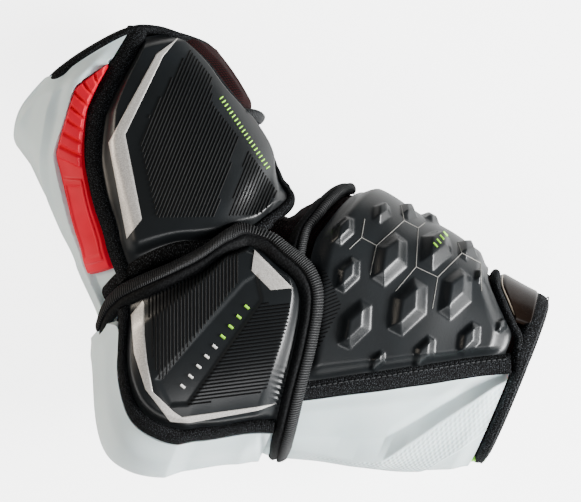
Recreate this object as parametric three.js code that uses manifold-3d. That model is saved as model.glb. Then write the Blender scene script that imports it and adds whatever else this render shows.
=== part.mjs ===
// A padded elbow guard for ice hockey, closed round an arm that is slightly bent, lying on its far side.
// It is a liner sleeve with three armoured stretches on it: upper arm, elbow and forearm. Each stretch has a
// pale moulded shell on the back of the arm and black moulded foam panels on both flanks, with fabric tape
// bound over every edge. The elbow stretch lies over the ends of the other two.
// Millimetres. X runs along the guard towards the wrist, Y towards the crook of the arm, Z up from the floor.
// The origin is on the floor, where the far side of the elbow lies flat.
import * as THREE from 'three';
import { mergeVertices } from 'three/addons/utils/BufferGeometryUtils.js';
import Module from 'manifold-3d';

// Line of the arm: a straight upper arm, a bend at the elbow and a straight forearm.
const UPPER_ARM_LENGTH = 84;
const ELBOW_BEND_RADIUS = 90;
const ELBOW_BEND = 35; // degrees
const FOREARM_LENGTH = 152;
const FOREARM_HEADING = -22; // degrees from X

// Sleeve sizes, at the outside of the liner.
const SLEEVE_WIDTH = 110; // across the upper arm, in the plane of the bend
const SLEEVE_DEPTH = 96; // from flank to flank at the elbow
const SECTION_POWER = 2.4; // 2 is an ellipse, more is squarer

// Thicknesses, and the clearance between pieces that lie against each other.
const LINER_WALL = 3;
const CLEARANCE = 0.45; // beside each other
const LAYER_GAP = 0.9; // one over the other
const FACET_GAP = 1.2; // the underside of a wide piece lies this much higher, so that its facets stay clear
const FACET_TOLERANCE = 0.1;
const TIGHTEST_RADIUS = 26; // of the sleeve's sections; a tape's flat underside clears a curve of this
const LIMB_PAD = 7; // panels and shells of the upper arm and forearm
const ELBOW_PAD = 6.4; // panels and cap of the elbow, on top of the others
const PANEL_EDGE = 3.2; // panels thin down to this where the tape binds them
const SHELL_EDGE = 5.6;
const TAPE_THICKNESS = 4;
const BAND_THICKNESS = 5;
const INSERT_PROUD = 1.2; // the ribbed insert stands above the shell's edge by this
const STRAP_THICKNESS = 5.5;
const PLATE_THICKNESS = 4.4;
const TAB_THICKNESS = 2.8;
const POD_HEIGHT = 4;
const FIELD_SINK = 1.4; // how far the forearm shell's textured field lies below its ridges
const INSERT_RIBS = 8;
const REST_FLAT = 1; // how far the elbow's underside is pressed flat

// Widths of the tapes and bands.
const UPPER_SEAM_TAPE = 10.5;
const UPPER_EDGE_TAPE = 4.5;
const UPPER_FOOT_TAPE = 8;
const STRAP_EDGE_TAPE = 4;
const PANEL_END_TAPE = 4.5;
const ELBOW_SEAM_TAPE = 8.5;
const ELBOW_BAND = 11;
const FOREARM_SEAM_TAPE = 12.5;
const COLLAR_BAND = 9;
const RIM_TAPE = 5;
const WRIST_TAPE = 6.5;
const SHOULDER = 9; // how far in from its edge a panel reaches its full thickness
const TAB_WIDTH = 7;
const TAB_LENGTH = 7;
const TAB_ROUND = 165; // degrees round the wrist

const DEGREE = Math.PI / 180;
const ARM_LENGTH = UPPER_ARM_LENGTH + ELBOW_BEND_RADIUS * ELBOW_BEND * DEGREE + FOREARM_LENGTH;
const LIMB_INNER = LAYER_GAP;
const LIMB_UNDER = LIMB_INNER + FACET_GAP;
const LIMB_OUTER = LIMB_INNER + LIMB_PAD;
const ELBOW_INNER = LIMB_OUTER + LAYER_GAP;
const ELBOW_UNDER = ELBOW_INNER + FACET_GAP / 2;
const ELBOW_OUTER = ELBOW_INNER + ELBOW_PAD;

// The sleeve's sections. along is a share of the arm's run; front (to the crook) and back (to the elbow's
// point) are shares of SLEEVE_WIDTH; depth is a share of SLEEVE_DEPTH; lift, the height of the liner's
// underside above the floor, is a share of the elbow's whole padding.
const SECTIONS = [
  { along: 0.0, front: 0.51, back: 0.445, depth: 0.9, lift: 0.6 },
  { along: 0.11, front: 0.55, back: 0.43, depth: 0.96, lift: 0.67 },
  { along: 0.22, front: 0.55, back: 0.465, depth: 1.0, lift: 0.77 },
  { along: 0.29, front: 0.538, back: 0.49, depth: 1.0, lift: 0.9 },
  { along: 0.365, front: 0.512, back: 0.605, depth: 1.0, lift: 1.0 },
  { along: 0.435, front: 0.48, back: 0.965, depth: 1.0, lift: 1.0 },
  { along: 0.51, front: 0.46, back: 0.86, depth: 1.0, lift: 1.0 },
  { along: 0.585, front: 0.522, back: 0.748, depth: 0.99, lift: 0.93 },
  { along: 0.655, front: 0.535, back: 0.705, depth: 0.96, lift: 0.85 },
  { along: 0.73, front: 0.497, back: 0.635, depth: 0.92, lift: 0.77 },
  { along: 0.8, front: 0.474, back: 0.591, depth: 0.875, lift: 0.74 },
  { along: 0.873, front: 0.43, back: 0.539, depth: 0.81, lift: 0.7 },
  { along: 0.95, front: 0.4, back: 0.453, depth: 0.75, lift: 0.66 },
  { along: 1.0, front: 0.388, back: 0.4, depth: 0.73, lift: 0.63 },
];

// Lines on the sleeve. along is a share of the arm's run; round is the angle round the section in degrees:
// 0 at the crook, 90 on the near flank, 180 at the back of the arm. The far flank mirrors the near one.
const RIM = [
  { along: 0.075, round: 0 },
  { along: 0.064, round: 18 },
  { along: 0.036, round: 33 },
  { along: 0.008, round: 42 },
  { along: -0.016, round: 54 },
  { along: -0.026, round: 76 },
  { along: -0.024, round: 104 },
  { along: -0.006, round: 130 },
  { along: 0.028, round: 155 },
  { along: 0.05, round: 180 },
];
const UPPER_SEAM = [
  { along: -0.006, round: 54 },
  { along: 0.006, round: 60 },
  { along: 0.024, round: 70.5 },
  { along: 0.043, round: 82 },
  { along: 0.063, round: 93 },
  { along: 0.085, round: 102.5 },
  { along: 0.142, round: 115 },
  { along: 0.197, round: 120.5 },
  { along: 0.254, round: 124 },
  { along: 0.303, round: 126.5 },
  { along: 0.34, round: 128 },
];
const UPPER_FRONT = [
  { along: 0.012, round: 40 },
  { along: 0.03, round: 36.5 },
  { along: 0.068, round: 33 },
  { along: 0.106, round: 30 },
  { along: 0.173, round: 27 },
  { along: 0.234, round: 20 },
  { along: 0.29, round: 13 },
  { along: 0.36, round: 10 },
  { along: 0.43, round: 13 },
  { along: 0.48, round: 22 },
  { along: 0.507, round: 34 },
  { along: 0.516, round: 46 },
];
const UPPER_FOOT = [
  { along: 0.342, round: 146 },
  { along: 0.343, round: 122 },
  { along: 0.36, round: 102 },
  { along: 0.388, round: 86 },
  { along: 0.414, round: 74 },
  { along: 0.455, round: 60 },
  { along: 0.5, round: 50 },
];
const INSERT_BACK = [
  { along: 0.028, round: 82 },
  { along: 0.034, round: 102 },
  { along: 0.064, round: 118.5 },
  { along: 0.105, round: 131.5 },
  { along: 0.195, round: 141 },
  { along: 0.29, round: 147 },
];
const ELBOW_LOOP = [
  { along: 0.35, round: 138.5 },
  { along: 0.351, round: 127 },
  { along: 0.372, round: 105 },
  { along: 0.398, round: 82 },
  { along: 0.42, round: 67 },
  { along: 0.452, round: 59 },
  { along: 0.49, round: 59.5 },
  { along: 0.53, round: 64.5 },
  { along: 0.574, round: 72 },
  { along: 0.602, round: 81 },
  { along: 0.62, round: 98 },
  { along: 0.633, round: 118 },
  { along: 0.645, round: 136 },
  { along: 0.652, round: 155 },
];
const CAP_START = 0.356;
const CAP_END = 0.626;
const ELBOW_SEAM = [
  { along: 0.352, round: 129 },
  { along: 0.388, round: 134.5 },
  { along: 0.42, round: 135 },
  { along: 0.455, round: 136.5 },
  { along: 0.482, round: 138.5 },
  { along: 0.55, round: 139 },
  { along: 0.6445, round: 135 },
];
const FOREARM_SEAM = [
  { along: 0.59, round: 124 },
  { along: 0.646, round: 120.5 },
  { along: 0.705, round: 115.5 },
  { along: 0.771, round: 108.5 },
  { along: 0.834, round: 100 },
  { along: 0.898, round: 90.5 },
  { along: 0.98, round: 79.5 },
];
const COLLAR = [
  { along: 0.604, round: -108 },
  { along: 0.584, round: -90 },
  { along: 0.556, round: -72 },
  { along: 0.54, round: -52 },
  { along: 0.549, round: -42 },
  { along: 0.57, round: -22 },
  { along: 0.588, round: 0 },
  { along: 0.57, round: 22 },
  { along: 0.549, round: 42 },
  { along: 0.54, round: 52 },
  { along: 0.556, round: 72 },
  { along: 0.584, round: 90 },
  { along: 0.604, round: 108 },
];
const FOREARM_END = [
  { along: 0.9, round: 0 },
  { along: 0.9, round: 16 },
  { along: 0.905, round: 32 },
  { along: 0.928, round: 44 },
  { along: 0.957, round: 55 },
  { along: 0.979, round: 63.5 },
  { along: 0.982, round: 79.5 },
];

// The raised pods of the forearm panel: the middle of each, its length and its width as shares of POD_LENGTH.
const POD_LENGTH = 31;
const POD_WIDTH = 17;
const POD_TURN = 84; // degrees from the line of the arm, towards the crook
const POD_OUTLINE = [
  { lengthwise: 0.5, sideways: 0.1 },
  { lengthwise: 0.14, sideways: 0.5 },
  { lengthwise: -0.36, sideways: 0.3 },
  { lengthwise: -0.5, sideways: -0.1 },
  { lengthwise: -0.14, sideways: -0.5 },
  { lengthwise: 0.36, sideways: -0.3 },
];
const PODS = [
  { along: 0.609, round: 51, size: 0.6 },
  { along: 0.661, round: 35, size: 0.56 },
  { along: 0.705, round: 54.5, size: 1.04 },
  { along: 0.776, round: 37.5, size: 1.0 },
  { along: 0.645, round: 68, size: 0.67 },
  { along: 0.691, round: 86.5, size: 0.88 },
  { along: 0.767, round: 71, size: 1.06 },
  { along: 0.838, round: 55, size: 1.0 },
  { along: 0.891, round: 73.5, size: 0.64 },
  { along: 0.825, round: 88.5, size: 0.62 },
  { along: 0.753, round: 99.5, size: 0.42 },
  { along: 0.706, round: 21, size: 0.6 },
  { along: 0.831, round: 24.5, size: 0.7 },
  { along: 0.75, round: 4, size: 0.6 },
  { along: 0.87, round: 38, size: 0.4 },
];

function slopeAt(table, key, i) {
  const before = table[Math.max(i - 1, 0)];
  const after = table[Math.min(i + 1, table.length - 1)];
  return (after[key] - before[key]) / (after.t - before.t);
}

// A smooth value of one column of a table whose rows have a t, running straight on past both ends.
function column(table, key, t) {
  const last = table.length - 1;
  if (t <= table[0].t) return table[0][key] + slopeAt(table, key, 0) * (t - table[0].t);
  if (t >= table[last].t) return table[last][key] + slopeAt(table, key, last) * (t - table[last].t);
  let i = 0;
  while (table[i + 1].t < t) i += 1;
  const [a, b] = [table[i], table[i + 1]];
  const width = b.t - a.t;
  const u = (t - a.t) / width;
  const rise = u * u * (3 - 2 * u);
  const lead = u * (1 - u) * (1 - u) * width * slopeAt(table, key, i);
  const trail = -u * u * (1 - u) * width * slopeAt(table, key, i + 1);
  return a[key] + (b[key] - a[key]) * rise + lead + trail;
}

const SECTION_TABLE = SECTIONS.map((row) => ({ ...row, t: row.along }));

// The middle line of the arm in plan, from where the bend starts: a point and the heading there.
function spineAt(along) {
  const run = along * ARM_LENGTH;
  const start = (FOREARM_HEADING - ELBOW_BEND) * DEGREE;
  const turned = Math.min(Math.max((run - UPPER_ARM_LENGTH) / ELBOW_BEND_RADIUS, 0), ELBOW_BEND * DEGREE);
  const heading = start + turned;
  const straight = run <= UPPER_ARM_LENGTH ? run - UPPER_ARM_LENGTH : run - UPPER_ARM_LENGTH - turned * ELBOW_BEND_RADIUS;
  return {
    x: ELBOW_BEND_RADIUS * (Math.sin(heading) - Math.sin(start)) + Math.cos(heading) * straight,
    y: ELBOW_BEND_RADIUS * (Math.cos(start) - Math.cos(heading)) + Math.sin(heading) * straight,
    heading,
  };
}

function sectionAt(along) {
  const front = column(SECTION_TABLE, 'front', along) * SLEEVE_WIDTH;
  const back = column(SECTION_TABLE, 'back', along) * SLEEVE_WIDTH;
  const halfDepth = (column(SECTION_TABLE, 'depth', along) * SLEEVE_DEPTH) / 2;
  const lift = column(SECTION_TABLE, 'lift', along) * (ELBOW_OUTER - REST_FLAT);
  return { middle: (front - back) / 2, half: (front + back) / 2, halfDepth, height: halfDepth + lift };
}

const REST_ALONG = 0.467; // the far elbow panel lies flattest here
const REST_BACK = 0.03; // and this share of SLEEVE_WIDTH behind the section's middle

function planPoint(along, across) {
  const spine = spineAt(along);
  return [spine.x - Math.sin(spine.heading) * across, spine.y + Math.cos(spine.heading) * across];
}

const ORIGIN = planPoint(REST_ALONG, sectionAt(REST_ALONG).middle - REST_BACK * SLEEVE_WIDTH);

// A point over the sleeve: a place along the arm, an angle round it and a height above the liner.
// Nothing reaches below the floor: what would is pressed flat against it.
function skin(along, round, height) {
  const { middle, half, halfDepth, height: axisHeight } = sectionAt(along);
  const [c, s] = [Math.cos(round * DEGREE), Math.sin(round * DEGREE)];
  const reach = (Math.abs(c) ** SECTION_POWER + Math.abs(s) ** SECTION_POWER) ** (-1 / SECTION_POWER);
  const [across, up] = [half * reach * c, halfDepth * reach * s];
  const outAcross = (Math.sign(across) * Math.abs(across / half) ** (SECTION_POWER - 1)) / half;
  const outUp = (Math.sign(up) * Math.abs(up / halfDepth) ** (SECTION_POWER - 1)) / halfDepth;
  const length = Math.hypot(outAcross, outUp);
  const [x, y] = planPoint(along, middle + across + (height * outAcross) / length);
  const z = axisHeight + up + (height * outUp) / length;
  return new THREE.Vector3(x - ORIGIN[0], y - ORIGIN[1], Math.max(z, 0));
}

// How many millimetres a step along the arm and a degree round it measure at one place on the sleeve.
function measures(along, round) {
  const here = skin(along, round, LIMB_OUTER);
  const step = 0.002;
  return {
    perAlong: skin(along + step, round, LIMB_OUTER).distanceTo(here) / step,
    perDegree: skin(along, round + 1, LIMB_OUTER).distanceTo(here),
  };
}

// A line on the sleeve through a table's points, as a function from 0 to 1 at even speed.
function line(points) {
  const rows = [{ ...points[0], t: 0 }];
  for (const point of points.slice(1)) {
    const last = rows[rows.length - 1];
    const { perAlong, perDegree } = measures((last.along + point.along) / 2, (last.round + point.round) / 2);
    const step = Math.hypot((point.along - last.along) * perAlong, (point.round - last.round) * perDegree);
    rows.push({ ...point, t: last.t + step });
  }
  const whole = rows[rows.length - 1].t;
  const at = (t) => ({ along: column(rows, 'along', t * whole), round: column(rows, 'round', t * whole) });
  at.length_mm = whole;
  return at;
}

// The same line moved sideways by some millimetres, to the right of its own direction seen from outside.
function beside(at, millimetres) {
  const step = 0.004;
  const moved = (t) => {
    const here = at(t);
    const [before, after] = [at(t - step), at(t + step)];
    const { perAlong, perDegree } = measures(here.along, here.round);
    const [along, across] = [(after.along - before.along) * perAlong, (after.round - before.round) * perDegree];
    const size = Math.hypot(along, across);
    return {
      along: here.along - ((across / size) * millimetres) / perAlong,
      round: here.round + ((along / size) * millimetres) / perDegree,
    };
  };
  moved.length_mm = at.length_mm;
  return moved;
}

// The stretch of a line from one share of it to another.
function stretch(at, from, to) {
  const part = (t) => at(from + (to - from) * t);
  part.length_mm = at.length_mm * Math.abs(to - from);
  return part;
}

// The straight line between two points of the sleeve.
function straight(a, b) {
  return line([a, b]);
}

// The point where a line is nearest to another line's point, as a share of the first line.
function shareAlong(at, wanted) {
  let best = 0;
  let nearest = Infinity;
  const steps = 400;
  for (let i = 0; i <= steps; i += 1) {
    const here = at(i / steps);
    const distance = skin(here.along, here.round, 0).distanceTo(skin(wanted.along, wanted.round, 0));
    if (distance < nearest) [best, nearest] = [i / steps, distance];
  }
  return best;
}

const mirrored = (at) => {
  const other = (t) => ({ along: at(t).along, round: -at(t).round });
  other.length_mm = at.length_mm;
  return other;
};

// The surface between four lines: first and last run the same way, as do left and right, and their ends meet.
function between(left, right, first, last) {
  const place = (u, v, key) => {
    const along = (1 - u) * left(v)[key] + u * right(v)[key] + (1 - v) * first(u)[key] + v * last(u)[key];
    const corners =
      (1 - u) * (1 - v) * left(0)[key] + (1 - u) * v * left(1)[key] + u * (1 - v) * right(0)[key] + u * v * right(1)[key];
    return along - corners;
  };
  const surface = (u, v) => ({ along: place(u, v, 'along'), round: place(u, v, 'round') });
  surface.length_mm = (first.length_mm + last.length_mm) / 2;
  surface.width_mm = (left.length_mm + right.length_mm) / 2;
  return surface;
}

const lerp = (a, b, t) => a + (b - a) * t;

const rise = (x) => {
  const t = Math.min(Math.max(x, 0), 1);
  return t * t * (3 - 2 * t);
};

// The height of a pad that is full in its middle and thins down to its four edges.
function padded(surface, edge, full, shoulder = SHOULDER) {
  const [endShare, sideShare] = [shoulder / surface.length_mm, shoulder / surface.width_mm];
  return (u, v) => {
    const ends = rise(Math.min(u, 1 - u) / endShare);
    const sides = rise(Math.min(v, 1 - v) / sideShare);
    return edge + (full - edge) * ends * sides;
  };
}

// Shares from 0 to 1 with extra ones across both shoulders of a pad.
function shares(count, length, shoulder = SHOULDER) {
  const share = Math.min(shoulder / length, 0.3);
  const inner = Array.from({ length: count + 1 }, (_, i) => share + ((1 - 2 * share) * i) / count);
  return [0, share * 0.5, ...inner, 1 - share * 0.5, 1];
}

const even = (count) => Array.from({ length: count + 1 }, (_, i) => i / count);

// A geometry whose faces point outwards, from corner points and triangles.
function closed(points, triangles) {
  const volume = triangles.reduce((sum, [a, b, c]) => {
    const cross = new THREE.Vector3().crossVectors(points[b], points[c]);
    return sum + points[a].dot(cross);
  }, 0);
  const outward = volume > 0 ? triangles : triangles.map(([a, b, c]) => [a, c, b]);
  const geometry = new THREE.BufferGeometry();
  geometry.setAttribute('position', new THREE.Float32BufferAttribute(points.flatMap((p) => p.toArray()), 3));
  geometry.setIndex(outward.flat());
  return geometry;
}

// A solid wall between an inner and an outer height over a grid of places on the sleeve.
function wall(surface, us, vs, inner, outer) {
  const heightOf = (height, u, v) => (typeof height === 'function' ? height(u, v) : height);
  const points = [];
  for (const height of [outer, inner]) {
    for (const u of us) {
      for (const v of vs) {
        const { along, round } = surface(u, v);
        points.push(skin(along, round, heightOf(height, u, v)));
      }
    }
  }
  const [rows, cols] = [us.length, vs.length];
  const id = (side, i, j) => side * rows * cols + i * cols + j;
  const triangles = [];
  const quad = (a, b, c, d) => triangles.push([a, b, c], [a, c, d]);
  for (let i = 0; i < rows - 1; i += 1) {
    for (let j = 0; j < cols - 1; j += 1) {
      quad(id(0, i, j), id(0, i + 1, j), id(0, i + 1, j + 1), id(0, i, j + 1));
      quad(id(1, i, j), id(1, i, j + 1), id(1, i + 1, j + 1), id(1, i + 1, j));
    }
    quad(id(0, i, 0), id(1, i, 0), id(1, i + 1, 0), id(0, i + 1, 0));
    quad(id(0, i, cols - 1), id(0, i + 1, cols - 1), id(1, i + 1, cols - 1), id(1, i, cols - 1));
  }
  for (let j = 0; j < cols - 1; j += 1) {
    quad(id(0, 0, j), id(0, 0, j + 1), id(1, 0, j + 1), id(1, 0, j));
    quad(id(0, rows - 1, j), id(1, rows - 1, j), id(1, rows - 1, j + 1), id(0, rows - 1, j + 1));
  }
  return closed(points, triangles);
}

// Sections joined one to the next, in a ring or with a flat cap on each end.
function loft(sections, ring) {
  const [count, sides] = [sections.length, sections[0].length];
  const triangles = [];
  for (let i = 0; i < (ring ? count : count - 1); i += 1) {
    const next = (i + 1) % count;
    for (let j = 0; j < sides; j += 1) {
      const [a, b] = [i * sides + j, i * sides + ((j + 1) % sides)];
      const [c, d] = [next * sides + ((j + 1) % sides), next * sides + j];
      triangles.push([a, b, c], [a, c, d]);
    }
  }
  if (!ring) {
    for (let j = 1; j < sides - 1; j += 1) {
      const end = (count - 1) * sides;
      triangles.push([0, j + 1, j], [end, end + j, end + j + 1]);
    }
  }
  return closed(sections.flat(), triangles);
}

// Tape laid along a line: flat below, with its two long edges rounded over.
function tape(at, count, width, inner, thickness, ring = false) {
  const widthAt = typeof width === 'function' ? width : () => width;
  const profile = [
    { side: -1, height: 0 },
    { side: -0.86, height: 0.78 },
    { side: 0, height: 1 },
    { side: 0.86, height: 0.78 },
    { side: 1, height: 0 },
  ];
  const sections = Array.from({ length: ring ? count : count + 1 }, (_, i) => {
    const t = i / count;
    const under = inner + widthAt(t) ** 2 / (8 * TIGHTEST_RADIUS);
    return profile.map(({ side, height }) => {
      const { along, round } = beside(at, (side * widthAt(t)) / 2)(t);
      return skin(along, round, lerp(under, inner + thickness, height));
    });
  });
  return loft(sections, ring);
}

// A closed line round the whole sleeve, from its near half given from crook to back.
function allRound(half) {
  const far = half.slice(1, -1).reverse();
  const points = [...half, ...far.map(({ along, round }) => ({ along, round: 360 - round }))];
  const turn = points.map((point) => ({ ...point, t: point.round }));
  const span = [
    ...turn.slice(-3).map((point) => ({ ...point, t: point.t - 360 })),
    ...turn,
    ...turn.slice(0, 3).map((point) => ({ ...point, t: point.t + 360 })),
  ];
  const at = (t) => ({ along: column(span, 'along', (((t % 1) + 1) % 1) * 360), round: t * 360 });
  return at;
}

const wasm = await Module();
wasm.setup();

function asSolid(geometry) {
  const bare = mergeVertices(geometry.clone(), 1e-4);
  return new wasm.Manifold(
    new wasm.Mesh({
      numProp: 3,
      vertProperties: bare.attributes.position.array,
      triVerts: new Uint32Array(bare.index.array),
    }),
  );
}

function asGeometry(solid) {
  const mesh = solid.getMesh();
  const geometry = new THREE.BufferGeometry();
  geometry.setAttribute('position', new THREE.BufferAttribute(mesh.vertProperties, 3));
  geometry.setIndex(new THREE.BufferAttribute(mesh.triVerts, 1));
  return geometry;
}

const widest = (tapeWidth) => tapeWidth / 2 + CLEARANCE;

// What is left of a piece once the tapes that bound it, with their clearance, are taken out of it.
function clearOf(geometry, ...tapes) {
  const solid = tapes.reduce((left, taken) => left.subtract(asSolid(taken)), asSolid(geometry));
  const bodies = solid.decompose().sort((a, b) => b.volume() - a.volume());
  return asGeometry(bodies[0].simplify(FACET_TOLERANCE));
}

// A tape as something to cut with: wider by the clearance, and reaching through the whole pad.
function cutter(at, count, width, inner, ring = false) {
  const over = ring ? 0 : 0.01;
  const longer = (t) => at(lerp(-over, 1 + over, t));
  const wide = (t) => (typeof width === 'function' ? width(lerp(-over, 1 + over, t)) : width) + 4 * CLEARANCE;
  return tape(longer, count, wide, inner - LAYER_GAP / 2, 4 * ELBOW_PAD, ring);
}

const near = (at) => at;
const flank = (far) => (far ? mirrored : near);

// The same line, eased so that its ends meet two given places.
function meeting(at, start, end) {
  const eased = (t) => {
    const here = at(t);
    const moved = (key) => here[key] + (start[key] - at(0)[key]) * (1 - t) + (end[key] - at(1)[key]) * t;
    return { along: moved('along'), round: moved('round') };
  };
  eased.length_mm = at.length_mm;
  return eased;
}

// A line through samples of several lines, one after another.
const chained = (...runs) =>
  line(runs.flatMap(([at, from, to, count]) => even(count).map((t) => at(lerp(from, to, t)))));

const rim = allRound(RIM);
const rimTape = (t) => beside(rim, -RIM_TAPE / 2)(t);
const rimInside = (t) => beside(rim, -RIM_TAPE - CLEARANCE)(t);
const rimAt = (round) => {
  const turns = Math.floor(round / 360);
  const here = rimInside(round / 360 - turns);
  return { along: here.along, round: here.round + turns * 360 };
};
const WRIST_LINE = 0.999;
const wristInside = WRIST_LINE - (WRIST_TAPE / 2 + CLEARANCE) / ARM_LENGTH;

const upperSeam = line(UPPER_SEAM);
const upperFront = line(UPPER_FRONT);
const upperFoot = line(UPPER_FOOT);
const insertBack = line(INSERT_BACK);
const elbowLoop = line(ELBOW_LOOP);
const elbowSeam = line(ELBOW_SEAM);
const forearmSeam = line(FOREARM_SEAM);
const forearmEnd = line([
  ...FOREARM_END.slice(1).reverse().map(({ along, round }) => ({ along, round: -round })),
  ...FOREARM_END,
]);
const collar = line(COLLAR);

// The tape along the foot of an upper arm panel and up its front edge, narrowing as it goes.
const upperEdgeLine = chained(
  [beside(upperFoot, -UPPER_FOOT_TAPE / 2), 0, 0.93, 7],
  [beside(upperFront, UPPER_EDGE_TAPE / 2), 0.9, 0, 8],
);
const upperEdgeWidth = (t) => lerp(UPPER_FOOT_TAPE, UPPER_EDGE_TAPE, rise((t - 0.35) / 0.2));

// The liner: a padded mesh sleeve, open at both ends for the arm.
function linerGeometry() {
  const rows = [0, 0.16, 0.28, 0.35, 0.4, 0.44, 0.48, 0.52, 0.6, 0.73, 0.87, 1];
  const around = 30;
  const start = (t) => beside(rim, -1)(t);
  const sections = [0, -LINER_WALL].flatMap((height, side) => {
    const rings = rows.map((share) =>
      even(around)
        .slice(0, around)
        .map((t) => skin(lerp(start(t).along, 1.006, share), t * 360, height)),
    );
    return side ? rings.reverse() : rings;
  });
  return loft(sections, true);
}

// The inner edge of that tape, with the clearance that the panel inside it keeps.
const upperEdgeInner = (t) => beside(upperEdgeLine, -upperEdgeWidth(t) / 2 - 2 * CLEARANCE)(t);
upperEdgeInner.length_mm = upperEdgeLine.length_mm;

function upperPanel(far) {
  const corner = shareAlong(upperEdgeInner, { along: 0.49, round: 42 }); // where the foot turns up the front
  const seam = beside(upperSeam, -widest(UPPER_SEAM_TAPE));
  const meet = shareAlong(stretch(upperEdgeInner, 0, 0.3), seam(0.97)) * 0.3;
  const seamEnd = shareAlong(seam, upperEdgeInner(meet));
  const seamSide = stretch(seam, 0.05, seamEnd);
  const frontSide = stretch(upperEdgeInner, 0.975, corner);
  const footSide = meeting(stretch(upperEdgeInner, corner, meet), frontSide(1), seamSide(1));
  const surface = between(straight(frontSide(0), seamSide(0)), footSide, frontSide, seamSide);
  const at = (u, v) => flank(far)(() => surface(u, v))(0);
  const height = padded(surface, PANEL_EDGE, LIMB_OUTER);
  return wall(at, shares(6, surface.length_mm), shares(5, surface.width_mm), LIMB_UNDER, height);
}

const rimCutter = cutter(rimTape, 40, RIM_TAPE, LIMB_INNER, true);

function upperSeamTape(far) {
  const run = stretch(upperSeam, 0.0, 0.94);
  return clearOf(tape(flank(far)(run), 12, UPPER_SEAM_TAPE, LIMB_INNER, TAPE_THICKNESS), rimCutter);
}

const upperEdgeTape = (far) =>
  clearOf(tape(flank(far)(upperEdgeLine), 34, upperEdgeWidth, LIMB_INNER, TAPE_THICKNESS - 0.4), rimCutter);

function insertSurface(grown = 0) {
  const seamSide = stretch(beside(upperSeam, widest(UPPER_SEAM_TAPE)), 0.22 - grown, 0.92 + grown);
  const backSide = stretch(insertBack, 0.05 - grown, 0.97 + grown);
  return between(straight(seamSide(0), backSide(0)), straight(seamSide(1), backSide(1)), seamSide, backSide);
}

// The insert between the shell and the seam: raised ribs above, a plain framed plate below.
function upperInsert() {
  const surface = insertSurface(-0.012);
  const ribEnd = 0.5;
  const rows = [0];
  for (let rib = 0; rib < INSERT_RIBS; rib += 1) {
    for (const share of [0.12, 0.5, 0.88]) rows.push(ribEnd * ((rib + share) / INSERT_RIBS));
  }
  rows.push(0.53, 0.57, 0.62, 0.72, 0.82, 0.9, 0.94, 1);
  const height = (u, v) => {
    const middle = rise(Math.min(v, 1 - v) / 0.16);
    const rib = u < ribEnd ? rise((0.5 - Math.abs(((u / ribEnd) * INSERT_RIBS) % 1 - 0.5)) / 0.3 - 0.3) : 0;
    const frame = u > 0.55 && u < 0.93 ? rise(Math.min(u - 0.55, 0.93 - u) / 0.05) * middle : 0;
    return LIMB_INNER + SHELL_EDGE - 0.8 + rib * (1 + INSERT_PROUD * middle) + frame;
  };
  return wall(surface, rows, [0, 0.22, 0.78, 1], LIMB_UNDER, height);
}

// The upper arm's moulded shell, from the near seam round the back to the far one. The insert lies in it.
function upperShell() {
  const end = 0.385;
  const seam = beside(upperSeam, widest(UPPER_SEAM_TAPE));
  const nearSide = line([...even(6).map((t) => seam(lerp(0.12, 0.94, t))), { along: end, round: 152 }]);
  const farSide = line(even(8).map((t) => ({ along: nearSide(t).along, round: 360 - nearSide(t).round })));
  const top = line(even(8).map((t) => rimAt(lerp(nearSide(0).round, farSide(0).round, t))));
  const surface = between(
    meeting(top, nearSide(0), farSide(0)),
    straight(nearSide(1), farSide(1)),
    nearSide,
    farSide,
  );
  const height = padded(surface, LIMB_INNER + SHELL_EDGE - 0.8, LIMB_OUTER + 0.6, 14);
  const solid = wall(surface, shares(5, surface.length_mm), shares(10, surface.width_mm), LIMB_UNDER + CLEARANCE, height);
  const insertBed = wall(insertSurface(0.04), even(18), [-0.3, 0.5, 1], 0, LIMB_OUTER + 4);
  return clearOf(
    solid,
    rimCutter,
    insertBed,
    cutter(insertBack, 24, 0, LIMB_INNER),
    ...[near, mirrored].flatMap((side) => [
      cutter(side(upperEdgeLine), 34, upperEdgeWidth, LIMB_INNER),
      cutter(side(upperSeam), 12, UPPER_SEAM_TAPE, LIMB_INNER),
    ]),
  );
}

// The mesh strap across the crook side of the upper arm, and the bound edge at its foot.
const strapFoot = line([
  { along: 0.222, round: -34 },
  { along: 0.243, round: 0 },
  { along: 0.222, round: 34 },
]);

function upperStrap() {
  const side = stretch(beside(upperFront, -CLEARANCE), 0.02, 0.7);
  const foot = stretch(beside(strapFoot, STRAP_EDGE_TAPE / 2 + CLEARANCE), 0.04, 0.96);
  const corner = { along: foot(1).along, round: side(shareAlong(side, foot(1))).round - 0.4 };
  const nearSide = line([...even(4).map((t) => side(lerp(0.02, shareAlong(side, corner), t)))]);
  const farSide = mirrored(nearSide);
  const top = line(even(4).map((t) => rimAt(lerp(farSide(0).round, nearSide(0).round, t))));
  const surface = between(
    meeting(top, farSide(0), nearSide(0)),
    meeting(foot, farSide(1), nearSide(1)),
    farSide,
    nearSide,
  );
  const height = padded(surface, LIMB_INNER + 2, LIMB_INNER + STRAP_THICKNESS, 6);
  const solid = wall(surface, shares(3, surface.length_mm, 6), shares(6, surface.width_mm, 6), LIMB_UNDER, height);
  return clearOf(solid, rimCutter);
}

// The elbow's band, from the back of the near flank round the crook side of the near panel, across the back
// at the forearm end, and the same round the far panel.
const elbowBandLine = chained(
  [elbowLoop, 0, 1, 24],
  [(t) => ({ along: 0.653, round: lerp(165, 195, t) }), 0, 1, 2],
  [(t) => ({ along: elbowLoop(1 - t).along, round: 360 - elbowLoop(1 - t).round }), 0, 1, 24],
);

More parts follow.
